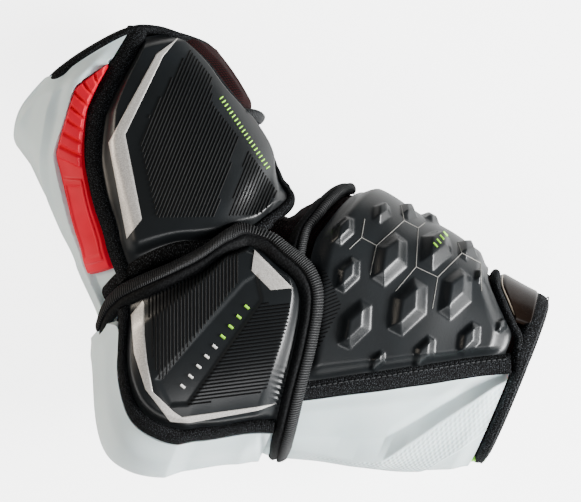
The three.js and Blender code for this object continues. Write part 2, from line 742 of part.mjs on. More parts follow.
function elbowPanel(far) {
  const inner = beside(elbowLoop, widest(ELBOW_BAND) + CLEARANCE);
  const seam = beside(elbowSeam, -widest(ELBOW_SEAM_TAPE));
  const [start, end] = [shareAlong(stretch(inner, 0, 0.3), seam(0.02)) * 0.3, shareAlong(inner, seam(0.93))];
  const seamSide = meeting(stretch(seam, 0.02, 0.93), inner(start), inner(end));
  // the arch turns at two shoulders, and the panel is filled in between them and the seam
  const [first, second] = [lerp(start, end, 0.36), lerp(start, end, 0.6)];
  const surface = between(
    stretch(inner, start, first),
    stretch(inner, end, second),
    seamSide,
    stretch(inner, first, second),
  );
  const at = (u, v) => flank(far)(() => surface(u, v))(0);
  const height = padded(surface, ELBOW_INNER + 2.4, ELBOW_OUTER, 7);
  return wall(at, shares(6, surface.length_mm, 7), shares(6, surface.width_mm, 7), ELBOW_UNDER, height);
}

// The elbow's cap, over the point of the elbow from seam to seam.
function elbowCap() {
  const seam = beside(elbowSeam, widest(ELBOW_SEAM_TAPE) + 2.5 * CLEARANCE);
  const end = shareAlong(seam, { along: CAP_END, round: 142 });
  const nearSide = line([{ along: CAP_START, round: 143 }, ...even(7).map((t) => seam(lerp(0.09, end, t)))]);
  const farSide = line(even(8).map((t) => ({ along: nearSide(t).along, round: 360 - nearSide(t).round })));
  const surface = between(straight(nearSide(0), farSide(0)), straight(nearSide(1), farSide(1)), nearSide, farSide);
  const height = padded(surface, ELBOW_INNER + 4.6, ELBOW_OUTER + 0.6, 12);
  return wall(surface, shares(7, surface.length_mm, 12), shares(7, surface.width_mm, 12), ELBOW_UNDER, height);
}

function elbowSeamTape(far) {
  const run = stretch(elbowSeam, 0.07, 0.93);
  return tape(flank(far)(run), 14, ELBOW_SEAM_TAPE, ELBOW_INNER, TAPE_THICKNESS);
}

// One pod: a long hexagon with broad bevels and a narrow flat top, rooted in the panel.
function pod({ along, round, size }) {
  const { perAlong, perDegree } = measures(along, round);
  const [c, s] = [Math.cos(POD_TURN * DEGREE), Math.sin(POD_TURN * DEGREE)];
  const ring = (lengthShare, widthShare, height) =>
    POD_OUTLINE.map(({ lengthwise, sideways }) => {
      const a = lengthwise * lengthShare * POD_LENGTH * size;
      const b = sideways * widthShare * POD_WIDTH * size;
      return skin(along + (a * c + b * s) / perAlong, round + (b * c - a * s) / perDegree, height);
    });
  const top = LIMB_OUTER + POD_HEIGHT * lerp(0.5, 1, size);
  return loft([ring(1.04, 1.1, LIMB_OUTER - 2), ring(0.84, 0.76, lerp(LIMB_OUTER, top, 0.7)), ring(0.56, 0.3, top)], false);
}

// The forearm panel wraps over the crook from the near seam to the far one, with raised pods all over it.
function forearmPanel() {
  const collarInner = beside(collar, -widest(COLLAR_BAND));
  const seam = beside(forearmSeam, -widest(FOREARM_SEAM_TAPE));
  const endInner = beside(forearmEnd, widest(PANEL_END_TAPE));
  const nearSide = stretch(seam, 0.15, 0.955);
  const farSide = mirrored(nearSide);
  const surface = between(
    meeting(collarInner, farSide(0), nearSide(0)),
    meeting(stretch(endInner, 0.02, 0.98), farSide(1), nearSide(1)),
    farSide,
    nearSide,
  );
  const height = padded(surface, PANEL_EDGE, LIMB_OUTER);
  const sheet = wall(surface, shares(5, surface.length_mm), shares(13, surface.width_mm), LIMB_UNDER, height);
  return asGeometry(PODS.reduce((joined, row) => joined.add(asSolid(pod(row))), asSolid(sheet)));
}

// The forearm shell: a ridge runs along each side of its back, with a sunk field between the two ridges.
function forearmShell() {
  const seam = beside(forearmSeam, widest(FOREARM_SEAM_TAPE));
  const nearSide = stretch(seam, 0.02, 0.99);
  const farSide = (t) => ({ along: nearSide(t).along, round: 360 - nearSide(t).round });
  farSide.length_mm = nearSide.length_mm;
  const edgeAt = (along) => line(even(4).map((t) => ({
    along,
    round: lerp(nearSide(along < 0.8 ? 0 : 1).round, farSide(along < 0.8 ? 0 : 1).round, t),
  })));
  const surface = between(
    meeting(edgeAt(0.6), nearSide(0), farSide(0)),
    meeting(edgeAt(wristInside), nearSide(1), farSide(1)),
    nearSide,
    farSide,
  );
  const rounding = padded(surface, LIMB_INNER + SHELL_EDGE - 1.2, LIMB_OUTER + 0.4, 10);
  const height = (u, v) => {
    const fromBack = Math.abs(v - 0.5) * 2;
    const sunk = rise((0.72 - fromBack) / 0.12) * rise((u - 0.08) / 0.2) * rise((0.97 - u) / 0.06);
    return rounding(u, v) - FIELD_SINK * sunk;
  };
  const across = [0, 0.05, 0.1, 0.14, 0.2, 0.3, 0.4, 0.5, 0.6, 0.7, 0.8, 0.86, 0.9, 0.95, 1];
  return wall(surface, shares(7, surface.length_mm, 10), across, LIMB_UNDER, height);
}

const forearmSeamTape = (far) =>
  tape(flank(far)(stretch(forearmSeam, 0.02, 0.985)), 12, FOREARM_SEAM_TAPE, LIMB_INNER + 0.2, TAPE_THICKNESS);

// The smooth plate on the crook side of the wrist, pointed at both ends.
function wristPlate() {
  const tip = 54;
  const inner = beside(forearmEnd, -widest(PANEL_END_TAPE));
  const from = shareAlong(inner, { along: 0.955, round: -tip });
  const leftSide = stretch(inner, from, 1 - from);
  const first = leftSide(0);
  const last = leftSide(1);
  const edge = wristInside;
  const right = line([
    { along: edge, round: first.round },
    { along: edge, round: 0 },
    { along: edge, round: last.round },
  ]);
  const surface = between(
    leftSide,
    right,
    straight(first, { along: edge, round: first.round }),
    straight(last, { along: edge, round: last.round }),
  );
  const height = padded(surface, LIMB_INNER + PLATE_THICKNESS / 2, LIMB_INNER + PLATE_THICKNESS, 3);
  return wall(surface, [0, 0.2, 0.5, 0.8, 1], even(10), LIMB_UNDER - 0.4, height);
}

// A short folded pull tab held under the wrist tape at the back of the arm.
function pullTab() {
  const at = { along: WRIST_LINE + (WRIST_TAPE / 2 + CLEARANCE) / ARM_LENGTH, round: TAB_ROUND };
  const { perAlong, perDegree } = measures(at.along, at.round);
  const corner = (length, width, height) => skin(at.along + length / perAlong, at.round + width / perDegree, height);
  const ring = (length, low, high) => [
    corner(length, -TAB_WIDTH / 2, low),
    corner(length, TAB_WIDTH / 2, low),
    corner(length, TAB_WIDTH / 2, high),
    corner(length, -TAB_WIDTH / 2, high),
  ];
  const low = LIMB_INNER + CLEARANCE;
  const high = low + TAB_THICKNESS;
  const folded = (share) => [lerp(low, high, share), lerp(high, low, share)];
  return loft([ring(0, low, high), ring(TAB_LENGTH * 0.8, low, high), ring(TAB_LENGTH, ...folded(0.25))], false);
}

const COLOURS = {
  shell: { color: 0xcfd6d6, roughness: 0.45 },
  panel: { color: 0x24262a, roughness: 0.42 },
  tape: { color: 0x141414, roughness: 0.9 },
  mesh: { color: 0x2a1113, roughness: 0.9 },
  insert: { color: 0xf0141e, roughness: 0.35 },
  plate: { color: 0x5a4636, roughness: 0.12 },
  tab: { color: 0x9be54f, roughness: 0.8 },
};

const group = new THREE.Group();

function add(name, colour, geometry) {
  const material = new THREE.MeshStandardMaterial({ metalness: 0, ...COLOURS[colour] });
  const mesh = new THREE.Mesh(geometry, material);
  mesh.name = name;
  group.add(mesh);
}

add('liner', 'mesh', linerGeometry());
add('upper_shell', 'shell', upperShell());
add('upper_insert', 'insert', upperInsert());
add('upper_strap', 'mesh', upperStrap());
add('upper_strap_edge', 'tape', clearOf(
  tape(stretch(strapFoot, 0.05, 0.95), 10, STRAP_EDGE_TAPE, LIMB_INNER, STRAP_THICKNESS + 0.6),
  cutter(upperEdgeLine, 34, upperEdgeWidth, LIMB_INNER),
  cutter(mirrored(upperEdgeLine), 34, upperEdgeWidth, LIMB_INNER),
));
add('rim_tape', 'tape', tape(rimTape, 36, RIM_TAPE, LIMB_INNER, TAPE_THICKNESS, true));
add('elbow_cap', 'shell', elbowCap());
add('elbow_band', 'tape', tape(elbowBandLine, 56, ELBOW_BAND, ELBOW_INNER, BAND_THICKNESS));
add('forearm_panel', 'panel', forearmPanel());
add('forearm_shell', 'shell', forearmShell());
add('forearm_collar', 'tape', tape(collar, 26, COLLAR_BAND, LIMB_INNER - CLEARANCE, TAPE_THICKNESS));
add('panel_end_tape', 'tape',
  tape(stretch(forearmEnd, 0.09, 0.91), 26, PANEL_END_TAPE, LIMB_UNDER, TAPE_THICKNESS - 1));
add('wrist_plate', 'plate', wristPlate());
add('wrist_tape', 'tape',
  tape((t) => ({ along: WRIST_LINE, round: t * 360 }), 36, WRIST_TAPE, LIMB_INNER, TAPE_THICKNESS, true));
add('pull_tab', 'tab', pullTab());
for (const [far, suffix] of [[false, ''], [true, '_far']]) {
  add('upper_panel' + suffix, 'panel', upperPanel(far));
  add('upper_seam_tape' + suffix, 'tape', upperSeamTape(far));
  add('upper_edge_tape' + suffix, 'tape', upperEdgeTape(far));
  add('elbow_panel' + suffix, 'panel', elbowPanel(far));
  add('elbow_seam_tape' + suffix, 'tape', elbowSeamTape(far));
  add('forearm_seam_tape' + suffix, 'tape', forearmSeamTape(far));
}

export default group;
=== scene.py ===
import math
import bpy
import numpy as np
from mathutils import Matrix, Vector
from mathutils.bvhtree import BVHTree


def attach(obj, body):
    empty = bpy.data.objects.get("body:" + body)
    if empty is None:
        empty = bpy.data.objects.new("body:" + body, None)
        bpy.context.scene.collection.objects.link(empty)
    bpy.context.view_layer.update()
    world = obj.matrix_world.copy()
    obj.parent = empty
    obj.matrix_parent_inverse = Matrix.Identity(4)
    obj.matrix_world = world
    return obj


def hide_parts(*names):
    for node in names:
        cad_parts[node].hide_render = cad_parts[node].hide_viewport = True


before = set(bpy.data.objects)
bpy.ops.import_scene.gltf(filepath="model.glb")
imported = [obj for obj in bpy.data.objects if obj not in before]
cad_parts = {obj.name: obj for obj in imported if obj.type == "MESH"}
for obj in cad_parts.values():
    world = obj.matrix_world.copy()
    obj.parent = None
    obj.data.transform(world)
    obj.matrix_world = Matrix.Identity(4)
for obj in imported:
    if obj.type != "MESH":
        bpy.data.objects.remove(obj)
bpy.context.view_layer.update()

# ---- Liner ----
# A sleeve of spacer mesh over thin foam, open at both ends, that the arm goes through. Every other piece is
# sewn onto it, so the line of the arm and its sections are worked out here, in millimetres, as in the solids.
UPPER_ARM, BEND_RADIUS, FOREARM = 84.0, 90.0, 152.0
BEND, HEADING = math.radians(35), math.radians(-22)
RUN = UPPER_ARM + BEND_RADIUS * BEND + FOREARM
SLEEVE_WIDTH, SLEEVE_DEPTH, SECTION_POWER = 110.0, 96.0, 2.4
LIMB_OUTER, ELBOW_OUTER = 7.9, 15.2
RIM_TAPE, WRIST_TAPE, WRIST_LINE = 5.0, 6.5, 0.999
# along the arm, front, back (shares of the width), depth (share of the depth), lift (share of the padding)
SECTIONS = np.array([
    [0.000, 0.510, 0.445, 0.900, 0.60], [0.110, 0.550, 0.430, 0.960, 0.67], [0.220, 0.550, 0.465, 1.000, 0.77],
    [0.290, 0.538, 0.490, 1.000, 0.90], [0.365, 0.512, 0.605, 1.000, 1.00], [0.435, 0.480, 0.965, 1.000, 1.00],
    [0.510, 0.460, 0.860, 1.000, 1.00], [0.585, 0.522, 0.748, 0.990, 0.93], [0.655, 0.535, 0.705, 0.960, 0.85],
    [0.730, 0.497, 0.635, 0.920, 0.77], [0.800, 0.474, 0.591, 0.875, 0.74], [0.873, 0.430, 0.539, 0.810, 0.70],
    [0.950, 0.400, 0.453, 0.750, 0.66], [1.000, 0.388, 0.400, 0.730, 0.63]])
RIM = np.array([
    [0.075, 0], [0.064, 18], [0.036, 33], [0.008, 42], [-0.016, 54], [-0.026, 76], [-0.024, 104], [-0.006, 130],
    [0.028, 155], [0.050, 180]])


def smooth(t, stops, values):
    """A smooth curve through values at stops, running straight on past both ends."""
    stops, values, t = np.asarray(stops, float), np.asarray(values, float), np.asarray(t, float)
    count = len(stops)
    before, after = np.maximum(np.arange(count) - 1, 0), np.minimum(np.arange(count) + 1, count - 1)
    slopes = (values[after] - values[before]) / (stops[after] - stops[before])
    i = np.clip(np.searchsorted(stops, t) - 1, 0, count - 2)
    width = stops[i + 1] - stops[i]
    u = (t - stops[i]) / width
    inside = values[i] + (values[i + 1] - values[i]) * u * u * (3 - 2 * u)
    inside += u * (1 - u) ** 2 * width * slopes[i] - u * u * (1 - u) * width * slopes[i + 1]
    low, high = values[0] + slopes[0] * (t - stops[0]), values[-1] + slopes[-1] * (t - stops[-1])
    return np.where(t < stops[0], low, np.where(t > stops[-1], high, inside))


def plan(along, across):
    run = along * RUN
    start = HEADING - BEND
    turned = np.clip((run - UPPER_ARM) / BEND_RADIUS, 0, BEND)
    heading = start + turned
    straight = run - UPPER_ARM - np.where(run <= UPPER_ARM, 0, turned * BEND_RADIUS)
    x = BEND_RADIUS * (np.sin(heading) - math.sin(start)) + np.cos(heading) * straight
    y = BEND_RADIUS * (math.cos(start) - np.cos(heading)) + np.sin(heading) * straight
    return x - np.sin(heading) * across, y + np.cos(heading) * across


def section(along):
    front, back, depth, lift = (smooth(along, SECTIONS[:, 0], SECTIONS[:, i]) for i in (1, 2, 3, 4))
    front, back, depth = front * SLEEVE_WIDTH, back * SLEEVE_WIDTH, depth * SLEEVE_DEPTH / 2
    return (front - back) / 2, (front + back) / 2, depth, depth + lift * (ELBOW_OUTER - 1)


REST_ALONG, REST_BACK = 0.467, 0.03
ORIGIN = plan(np.array(REST_ALONG), section(np.array(REST_ALONG))[0] - REST_BACK * SLEEVE_WIDTH)


def skin(along, turn, height):
    """Points over the sleeve: a share of the arm's run, degrees round it from the crook, a height above it."""
    middle, half, depth, axis = section(along)
    c, s = np.cos(np.radians(turn)), np.sin(np.radians(turn))
    reach = (np.abs(c) ** SECTION_POWER + np.abs(s) ** SECTION_POWER) ** (-1 / SECTION_POWER)
    across, up = half * reach * c, depth * reach * s
    out_across = np.sign(across) * np.abs(across / half) ** (SECTION_POWER - 1) / half
    out_up = np.sign(up) * np.abs(up / depth) ** (SECTION_POWER - 1) / depth
    length = np.hypot(out_across, out_up)
    x, y = plan(along, middle + across + height * out_across / length)
    z = axis + up + height * out_up / length
    return np.stack([x - ORIGIN[0], y - ORIGIN[1], np.maximum(z, 0)], -1)


def over(places, height):
    """Points at a height over places (along, turn), both given as arrays or the height as one number."""
    return skin(places[..., 0], places[..., 1], np.broadcast_to(height, places.shape[:-1]))


def off_crook(turn):
    return np.minimum(turn, 360 - turn)


def measures(places):
    """Millimetres in a step along the arm, and in a degree round it, at places."""
    here, step = over(places, LIMB_OUTER), 0.002
    return (np.linalg.norm(over(places + [step, 0], LIMB_OUTER) - here, axis=-1) / step,
            np.linalg.norm(over(places + [0, 1], LIMB_OUTER) - here, axis=-1))


def aside(path):
    """What one millimetre to the right of a line's direction, seen from outside, is in along and turn."""
    per = np.stack(measures(path), -1)
    way = np.gradient(path, axis=0) * per
    way /= np.linalg.norm(way, axis=-1, keepdims=True)
    return np.stack([-way[:, 1] / per[:, 0], way[:, 0] / per[:, 1]], -1)


def beside(path, millimetres):
    return path + aside(path) * np.asarray(millimetres, float).reshape(-1, 1)


def rise(x):
    x = np.clip(x, 0, 1)
    return x * x * (3 - 2 * x)


def even(count):
    return np.linspace(0, 1, count + 1)


def placed(name, data):
    item = bpy.data.objects.new(name, data)
    bpy.context.scene.collection.objects.link(item)
    return item


def built(name, points, faces, corners):
    """A mesh object from points in millimetres, quads and the corners' places on the cloth, facing outwards."""
    p = points[faces]
    volume = np.einsum("ij,ij->i", p[:, 0], np.cross(p[:, 1], p[:, 2]) + np.cross(p[:, 2], p[:, 3])).sum()
    if volume < 0:
        faces, corners = faces[:, ::-1], corners[:, ::-1]
    mesh = bpy.data.meshes.new(name)
    mesh.from_pydata(points * 0.001, [], faces)
    cloth = mesh.uv_layers.new(name="cloth_mm")
    cloth.data.foreach_set("uv", np.ascontiguousarray(corners, dtype=np.float32).ravel())
    mesh.polygons.foreach_set("use_smooth", np.ones(len(faces), bool))
    mesh.set_sharp_from_angle(angle=math.radians(50))
    mesh.validate()
    return placed(name, mesh)


def closed(name, high, low, ring=False):
    """A closed solid between two grids of points in millimetres, or one that joins up into a ring."""
    rows, cols = high.shape[:2]
    middle, across = high[:, cols // 2], high[rows // 2]
    u = np.concatenate([[0], np.cumsum(np.linalg.norm(np.roll(middle, -1, 0) - middle, axis=-1))])
    v = np.concatenate([[0], np.cumsum(np.linalg.norm(across[1:] - across[:-1], axis=-1))])
    faces, cloth = [], []

    def quads(corners, flip=1):
        """Adds quads by their corners, each a row, a column and 0 for the top or 1 for the foot."""
        row, col, level = (np.stack(np.broadcast_arrays(*part), -1) for part in zip(*corners))
        faces.append((row % rows * cols + col + level * rows * cols)[:, ::flip])
        cloth.append(np.stack(np.broadcast_arrays(u[row], v[col]), -1)[:, ::flip])

    side, end = np.arange(rows if ring else rows - 1), np.arange(cols - 1)
    i, j = (part.ravel() for part in np.meshgrid(side, end, indexing="ij"))
    for level, flip in ((0, 1), (1, -1)):
        quads([(i, j, level), (i + 1, j, level), (i + 1, j + 1, level), (i, j + 1, level)], flip)
    for col, flip in ((0, 1), (cols - 1, -1)):
        quads([(side, col, 0), (side, col, 1), (side + 1, col, 1), (side + 1, col, 0)], flip)
    for row, flip in () if ring else ((0, 1), (rows - 1, -1)):
        quads([(row, end, 0), (row, end + 1, 0), (row, end + 1, 1), (row, end, 1)], flip)
    points = np.concatenate([high.reshape(-1, 3), low.reshape(-1, 3)])
    return built(name, points, np.concatenate(faces), np.concatenate(cloth))


def linear(code):
    """An sRGB hex colour as the linear one that the shaders take."""
    parts = [int(code[i:i + 2], 16) / 255 for i in (1, 3, 5)]
    return [p / 12.92 if p <= 0.04045 else ((p + 0.055) / 1.055) ** 2.4 for p in parts] + [1.0]


def add(tree, kind, inputs=None, stops=(), **settings):
    """Adds a node with its settings, its values, its links and a ramp's colours at places along it."""
    node = tree.nodes.new(kind)
    for key, value in settings.items():
        setattr(node, key, value)
    for key, value in (inputs or {}).items():
        if isinstance(value, bpy.types.Node):
            value = value.outputs[0]
        if isinstance(value, bpy.types.NodeSocket):
            tree.links.new(value, node.inputs[key])
        else:
            node.inputs[key].default_value = value
    for i, (place, code) in enumerate(stops):
        node.color_ramp.elements[i].position, node.color_ramp.elements[i].color = place, linear(code)
    return node


def finish_of(name, **shader):
    """A material with one Principled shader, whose plain values are set on its own sockets."""
    material = bpy.data.materials.new(name)
    material.use_nodes = True
    tree = material.node_tree
    tree.nodes.clear()
    base = add(tree, "ShaderNodeBsdfPrincipled", {key.replace("_", " "): value for key, value in shader.items()})
    add(tree, "ShaderNodeOutputMaterial", {"Surface": base})
    return material, tree, base


def surface(tree, base, pattern, stops, relief=None, strength=0.0, depth=0.0):
    """Colours a shader by a pattern, and raises a relief in it to a depth in metres."""
    colour = add(tree, "ShaderNodeValToRGB", {"Fac": pattern}, stops)
    tree.links.new(colour.outputs[0], base.inputs["Base Color"])
    if relief is not None:
        bump = add(tree, "ShaderNodeBump", {"Strength": strength, "Distance": depth, "Height": relief})
        tree.links.new(bump.outputs[0], base.inputs["Normal"])


def fitted(piece, material, slot, *nodes, fill=None):
    """Gives a finished piece its material, hangs it under the root body and hides the parts that it stands for."""
    piece.data.materials.clear()
    piece.data.materials.append(material)
    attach(piece, "root")
    if nodes:
        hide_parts(*nodes)
    return piece


def laid(name, places, low, high, material, slot, fill=None, ring=False):
    """A closed solid between two heights over a grid of places, which stands for the node of its name."""
    return fitted(closed(name, over(places, high), over(places, low), ring), material, slot, name, fill=fill)


def all_round(half, count=360):
    """A closed line round the whole sleeve, from its near half given from the crook to the back."""
    far = half[1:-1][::-1] * [1, -1] + [0, 360]
    whole = np.concatenate([half, far])
    span = np.concatenate([whole[-3:] - [0, 360], whole, whole[:3] + [0, 360]])
    turn = np.linspace(0, 360, count + 1)
    return np.stack([smooth(turn, span[:, 1], span[:, 0]), turn], -1)


rim = all_round(RIM)


def rim_at(turn, inset):
    """Places a little inside the rim, at given degrees round it."""
    ring = beside(rim, -inset)[:-1]
    return np.stack([np.interp(turn, ring[:, 1], ring[:, 0], period=360), turn], -1)


# Polyester spacer mesh, warp-knitted: black yarn with small round holes, and a red foam that shows in them.
# The holes are 1.6 mm apart, drawn a little coarser than real ones (1.2 mm) so that they show.
def spacer_mesh(name, yarn, beneath, pitch=1.6):
    material, tree, base = finish_of(name, Roughness=0.9, Specular_IOR_Level=0.15)
    uv = add(tree, "ShaderNodeUVMap", uv_map="cloth_mm")
    holes = add(tree, "ShaderNodeTexVoronoi", {"Vector": uv, "Scale": 1 / pitch, "Randomness": 0.15},
                voronoi_dimensions="2D")
    surface(tree, base, holes, [(0.22, beneath), (0.38, yarn)], holes, 0.6, 0.0004)
    return material


rows, around = 130, 180
turn = np.arange(around) * 360 / around
start = rim_at(turn, 1.0)[:, 0]
share = even(rows - 1)
places = np.stack(np.broadcast_arrays(start[:, None] + (1.006 - start[:, None]) * share, turn[:, None]), -1)
quilting = 0.5 * np.exp(-((np.mod(turn, 30) - 15) / 1.6) ** 2)[:, None]
ends = rise(np.minimum(share, 1 - share) / 0.03)
side_turn = off_crook(turn)[:, None]
fold = 17.0 * np.exp(-((places[..., 0] - 0.497) / 0.04) ** 2) * rise((56 - side_turn) / 40)
fold += 0.8 * np.sin(places[..., 0] * 260) * rise(fold / 5)
laid("liner", places, -1.6 - 1.3 * ends + quilting - fold, -1.0 + ends - quilting * ends - fold,
     spacer_mesh("spacer_mesh_liner", "#0a0808", "#2a080a"), "mesh_liner", 0.6, ring=True)

# ---- Upper arm shell ----
# A pale shell over the back of the upper arm, of EVA foam pressed in a heated mould, with a soft ridge down
# it. It is sewn to the liner under the tapes and lies lower where the red insert is set into it.


def spread(steps):
    """The length in millimetres of a line of places."""
    per = np.stack(measures((steps[1:] + steps[:-1]) / 2), -1)
    return np.hypot(*((steps[1:] - steps[:-1]) * per).T)


def line(points, steps=240):
    """A smooth line of places through a table of them, at even speed."""
    points = np.asarray(points, float)
    stops = np.concatenate([[0], np.cumsum(spread(points))])
    t = np.linspace(0, stops[-1], steps + 1)
    return np.stack([smooth(t, stops, points[:, 0]), smooth(t, stops, points[:, 1])], -1)


def at(path, t):
    t = np.asarray(t, float) * (len(path) - 1)
    i = np.clip(t.astype(int), 0, len(path) - 2)
    u = (t - i)[..., None]
    return path[i] * (1 - u) + path[i + 1] * u


def stretch(path, start, end, steps=240):
    return at(path, np.linspace(start, end, steps + 1))


UPPER_SEAM = line([
    [-0.006, 54], [0.006, 60], [0.024, 70.5], [0.043, 82], [0.063, 93], [0.085, 102.5], [0.142, 115],
    [0.197, 120.5], [0.254, 124], [0.303, 126.5], [0.340, 128]])
INSERT_BACK = line([
    [0.018, 79], [0.019, 92], [0.021, 100.5], [0.027, 103.8], [0.060, 116], [0.094, 128.8], [0.101, 131],
    [0.112, 132.7], [0.193, 140], [0.280, 148], [0.318, 150]])
SEAM_TAPE = 10.5


def over_back(path):
    return path * [1, -1] + [0, 360]


def straight(a, b, steps=240):
    return np.asarray(a, float) + (np.asarray(b, float) - a) * even(steps)[:, None]


def meeting(path, start, end):
    t = even(len(path) - 1)[:, None]
    return path + (np.asarray(start) - path[0]) * (1 - t) + (np.asarray(end) - path[-1]) * t


def between(left, right, first, last, rows, cols):
    """Places over the patch between four lines whose ends meet: rows go from left to right."""
    u, v = even(rows)[:, None, None], even(cols)[None, :, None]
    a, b = at(left, even(cols))[None], at(right, even(cols))[None]
    c, d = at(first, even(rows))[:, None], at(last, even(rows))[:, None]
    corners = (1 - u) * (1 - v) * left[0] + (1 - u) * v * left[-1] + u * (1 - v) * right[0] + u * v * right[-1]
    return (1 - u) * a + u * b + (1 - v) * c + v * d - corners


def thinned(places, edge, full, shoulder):
    """Heights over a grid of places: full in the middle, thinning over a shoulder to all four edges."""
    rows, cols = places.shape[:2]
    length = spread(places[:, cols // 2]).sum()
    width = spread(places[rows // 2]).sum()
    u, v = even(rows - 1)[:, None], even(cols - 1)[None]
    ends, sides = np.minimum(u, 1 - u) * length / shoulder, np.minimum(v, 1 - v) * width / shoulder
    return edge + (full - edge) * rise(ends) * rise(sides)


def moulded(name, light, dark, roughness):
    """Cross-linked EVA foam pressed in a hot mould: a satin skin with a fine pebble of about 0.8 mm in it."""
    material, tree, base = finish_of(name, Roughness=roughness, Specular_IOR_Level=0.4, Subsurface_Weight=0.06,
                                     Subsurface_Scale=0.002)
    where = add(tree, "ShaderNodeTexCoord").outputs["Object"]
    cloud = add(tree, "ShaderNodeTexNoise", {"Vector": where, "Scale": 38.0, "Detail": 3.0})
    grain = add(tree, "ShaderNodeTexNoise", {"Vector": where, "Scale": 1250.0, "Detail": 2.0})
    surface(tree, base, cloud, [(0.35, dark), (0.68, light)], grain, 0.12, 0.0003)
    return material


PALE = moulded("pressed_eva_pale", "#dfeeee", "#d5e5e6", 0.48)
seam = beside(UPPER_SEAM, SEAM_TAPE / 2 - 0.6)
near = line(np.concatenate([at(seam, 0.05 + 0.89 * even(6)), [[0.385, 152]]]))
far = over_back(near)
top_turn = np.linspace(near[0, 1], far[0, 1], 241)
over_tape = rise((off_crook(top_turn) - 100) / 12)[:, None]
top = rim_at(top_turn, RIM_TAPE - 0.8) * (1 - over_tape) + rim_at(top_turn, -0.8) * over_tape
places = between(meeting(top, near[0], far[0]), straight(near[-1], far[-1]), near, far, 150, 280)
edge_turn = np.interp(places[..., 0], INSERT_BACK[:, 0], INSERT_BACK[:, 1])
side_turn = off_crook(places[..., 1])
past = side_turn - edge_turn
crease = np.interp(places[..., 0], [-0.005, 0.027, 0.095, 0.168, 0.3], [107.5, 120, 140, 156, 166])
body = thinned(places, 5.2, 8.5, 12) - 4.8 * rise((side_turn - 136) / 30)
body -= 3.6 * rise((side_turn - 98) / 20) * (1 - rise((places[..., 0] - 0.01) / 0.13))
body = np.maximum(body, 2.4)
keel = 1.6 * np.exp(-np.abs(side_turn - crease) / 6.0) * rise((places[..., 0] + 0.02) / 0.06)
valley = 0.9 * np.exp(-((side_turn - crease + 7) / 4.0) ** 2)
valley += 1.0 * np.exp(-((side_turn - crease - 14) / 7.0) ** 2)
bed = np.where(places[..., 1] < 180, rise(-past / 1.2) * rise((places[..., 0] - 0.012) / 0.006), 0)
height = (body + keel - valley) * (1 - bed) + 2.2 * bed
laid("upper_shell", places, 1.6, height, PALE, "moulded_shell", 1.0)

# ---- Red insert ----
# A bright red moulded insert set into the shell beside the seam: eight raised ribs across it, and below them
# a plain framed plate. It is injected in one piece of elastomer and glued in its bed.
seam = beside(UPPER_SEAM, SEAM_TAPE / 2 - 0.8)
near, back = stretch(seam, 0.2, 0.93), stretch(INSERT_BACK, 0.0, 0.95)
rows, cols = 330, 60
places = between(straight(near[0], back[0]), straight(near[-1], back[-1]), near, back, rows, cols)
u, v = even(rows)[:, None], even(cols)[None]
margin = np.minimum(v, 1 - v)
edge = rise(margin / 0.07) * rise(np.minimum(u, 1 - u) / 0.015)
RIBS, RIBS_END = 8, 0.53
lean = u + 0.045 * v
wave = np.mod((lean - 0.045) / (RIBS_END - 0.045) * RIBS, 1)
rib = rise((0.5 - np.abs(wave - 0.5)) / 0.24) * (lean > 0.045) * (lean < RIBS_END)
rib = rib * rise((margin - 0.07) / 0.09)
inside = rise(np.minimum(u - 0.6, 0.93 - u) / 0.012) * rise((margin - 0.2) / 0.03)
frame_line = rise(np.minimum(u - 0.57, 0.955 - u) / 0.012) * rise((margin - 0.13) / 0.03)
plate = 0.7 * frame_line - 0.5 * inside
# Satin elastomer, dyed through: a strong even red, soft in its lights, with a faint bloom from the mould.
material, tree, base = finish_of("moulded_elastomer_red", Roughness=0.42, Specular_IOR_Level=0.2,
                                 Subsurface_Weight=0.04, Subsurface_Scale=0.001)
where = add(tree, "ShaderNodeTexCoord").outputs["Object"]
cloud = add(tree, "ShaderNodeTexNoise", {"Vector": where, "Scale": 60.0, "Detail": 2.0})
grain = add(tree, "ShaderNodeTexNoise", {"Vector": where, "Scale": 1600.0, "Detail": 1.0})
surface(tree, base, cloud, [(0.35, "#dc0028"), (0.7, "#ea0232")], grain, 0.08, 0.0002)
laid("upper_insert", places, 1.9, 4.6 + 1.7 * edge + 1.9 * rib + plate * 1.2, material, "red_insert", 1.0)

# ---- Upper arm panels ----
# The black panels on both flanks of the upper arm: thick EVA foam under a satin skin, pressed so that the
# middle stands up as one plateau with rounded sides. The edges go under the tapes, which hold them.
UPPER_FRONT = line([
    [0.012, 40], [0.030, 36.5], [0.068, 33], [0.106, 30], [0.173, 27], [0.234, 20], [0.290, 13], [0.360, 10],
    [0.430, 13], [0.480, 22], [0.507, 34], [0.516, 46]])
UPPER_FOOT = line([[0.342, 146], [0.343, 122], [0.360, 102], [0.388, 86], [0.414, 74], [0.455, 60], [0.500, 50]])
EDGE_TAPE, FOOT_TAPE = 4.5, 8.0
upper_edge = line(np.concatenate([
    at(beside(UPPER_FOOT, -FOOT_TAPE / 2), 0.93 * even(7)),
    at(beside(UPPER_FRONT, EDGE_TAPE / 2), 0.9 - 0.9 * even(8))]))
edge_share = even(len(upper_edge) - 1)
edge_width = FOOT_TAPE + (EDGE_TAPE - FOOT_TAPE) * rise((edge_share - 0.35) / 0.2)


def nearest(path, place):
    gap = np.linalg.norm(over(path, 0) - over(np.asarray(place, float), 0), axis=-1)
    return gap.argmin() / (len(path) - 1)


EYE = (0.03758, 0.03732, 2.26)
MID_PLANE = 0.060


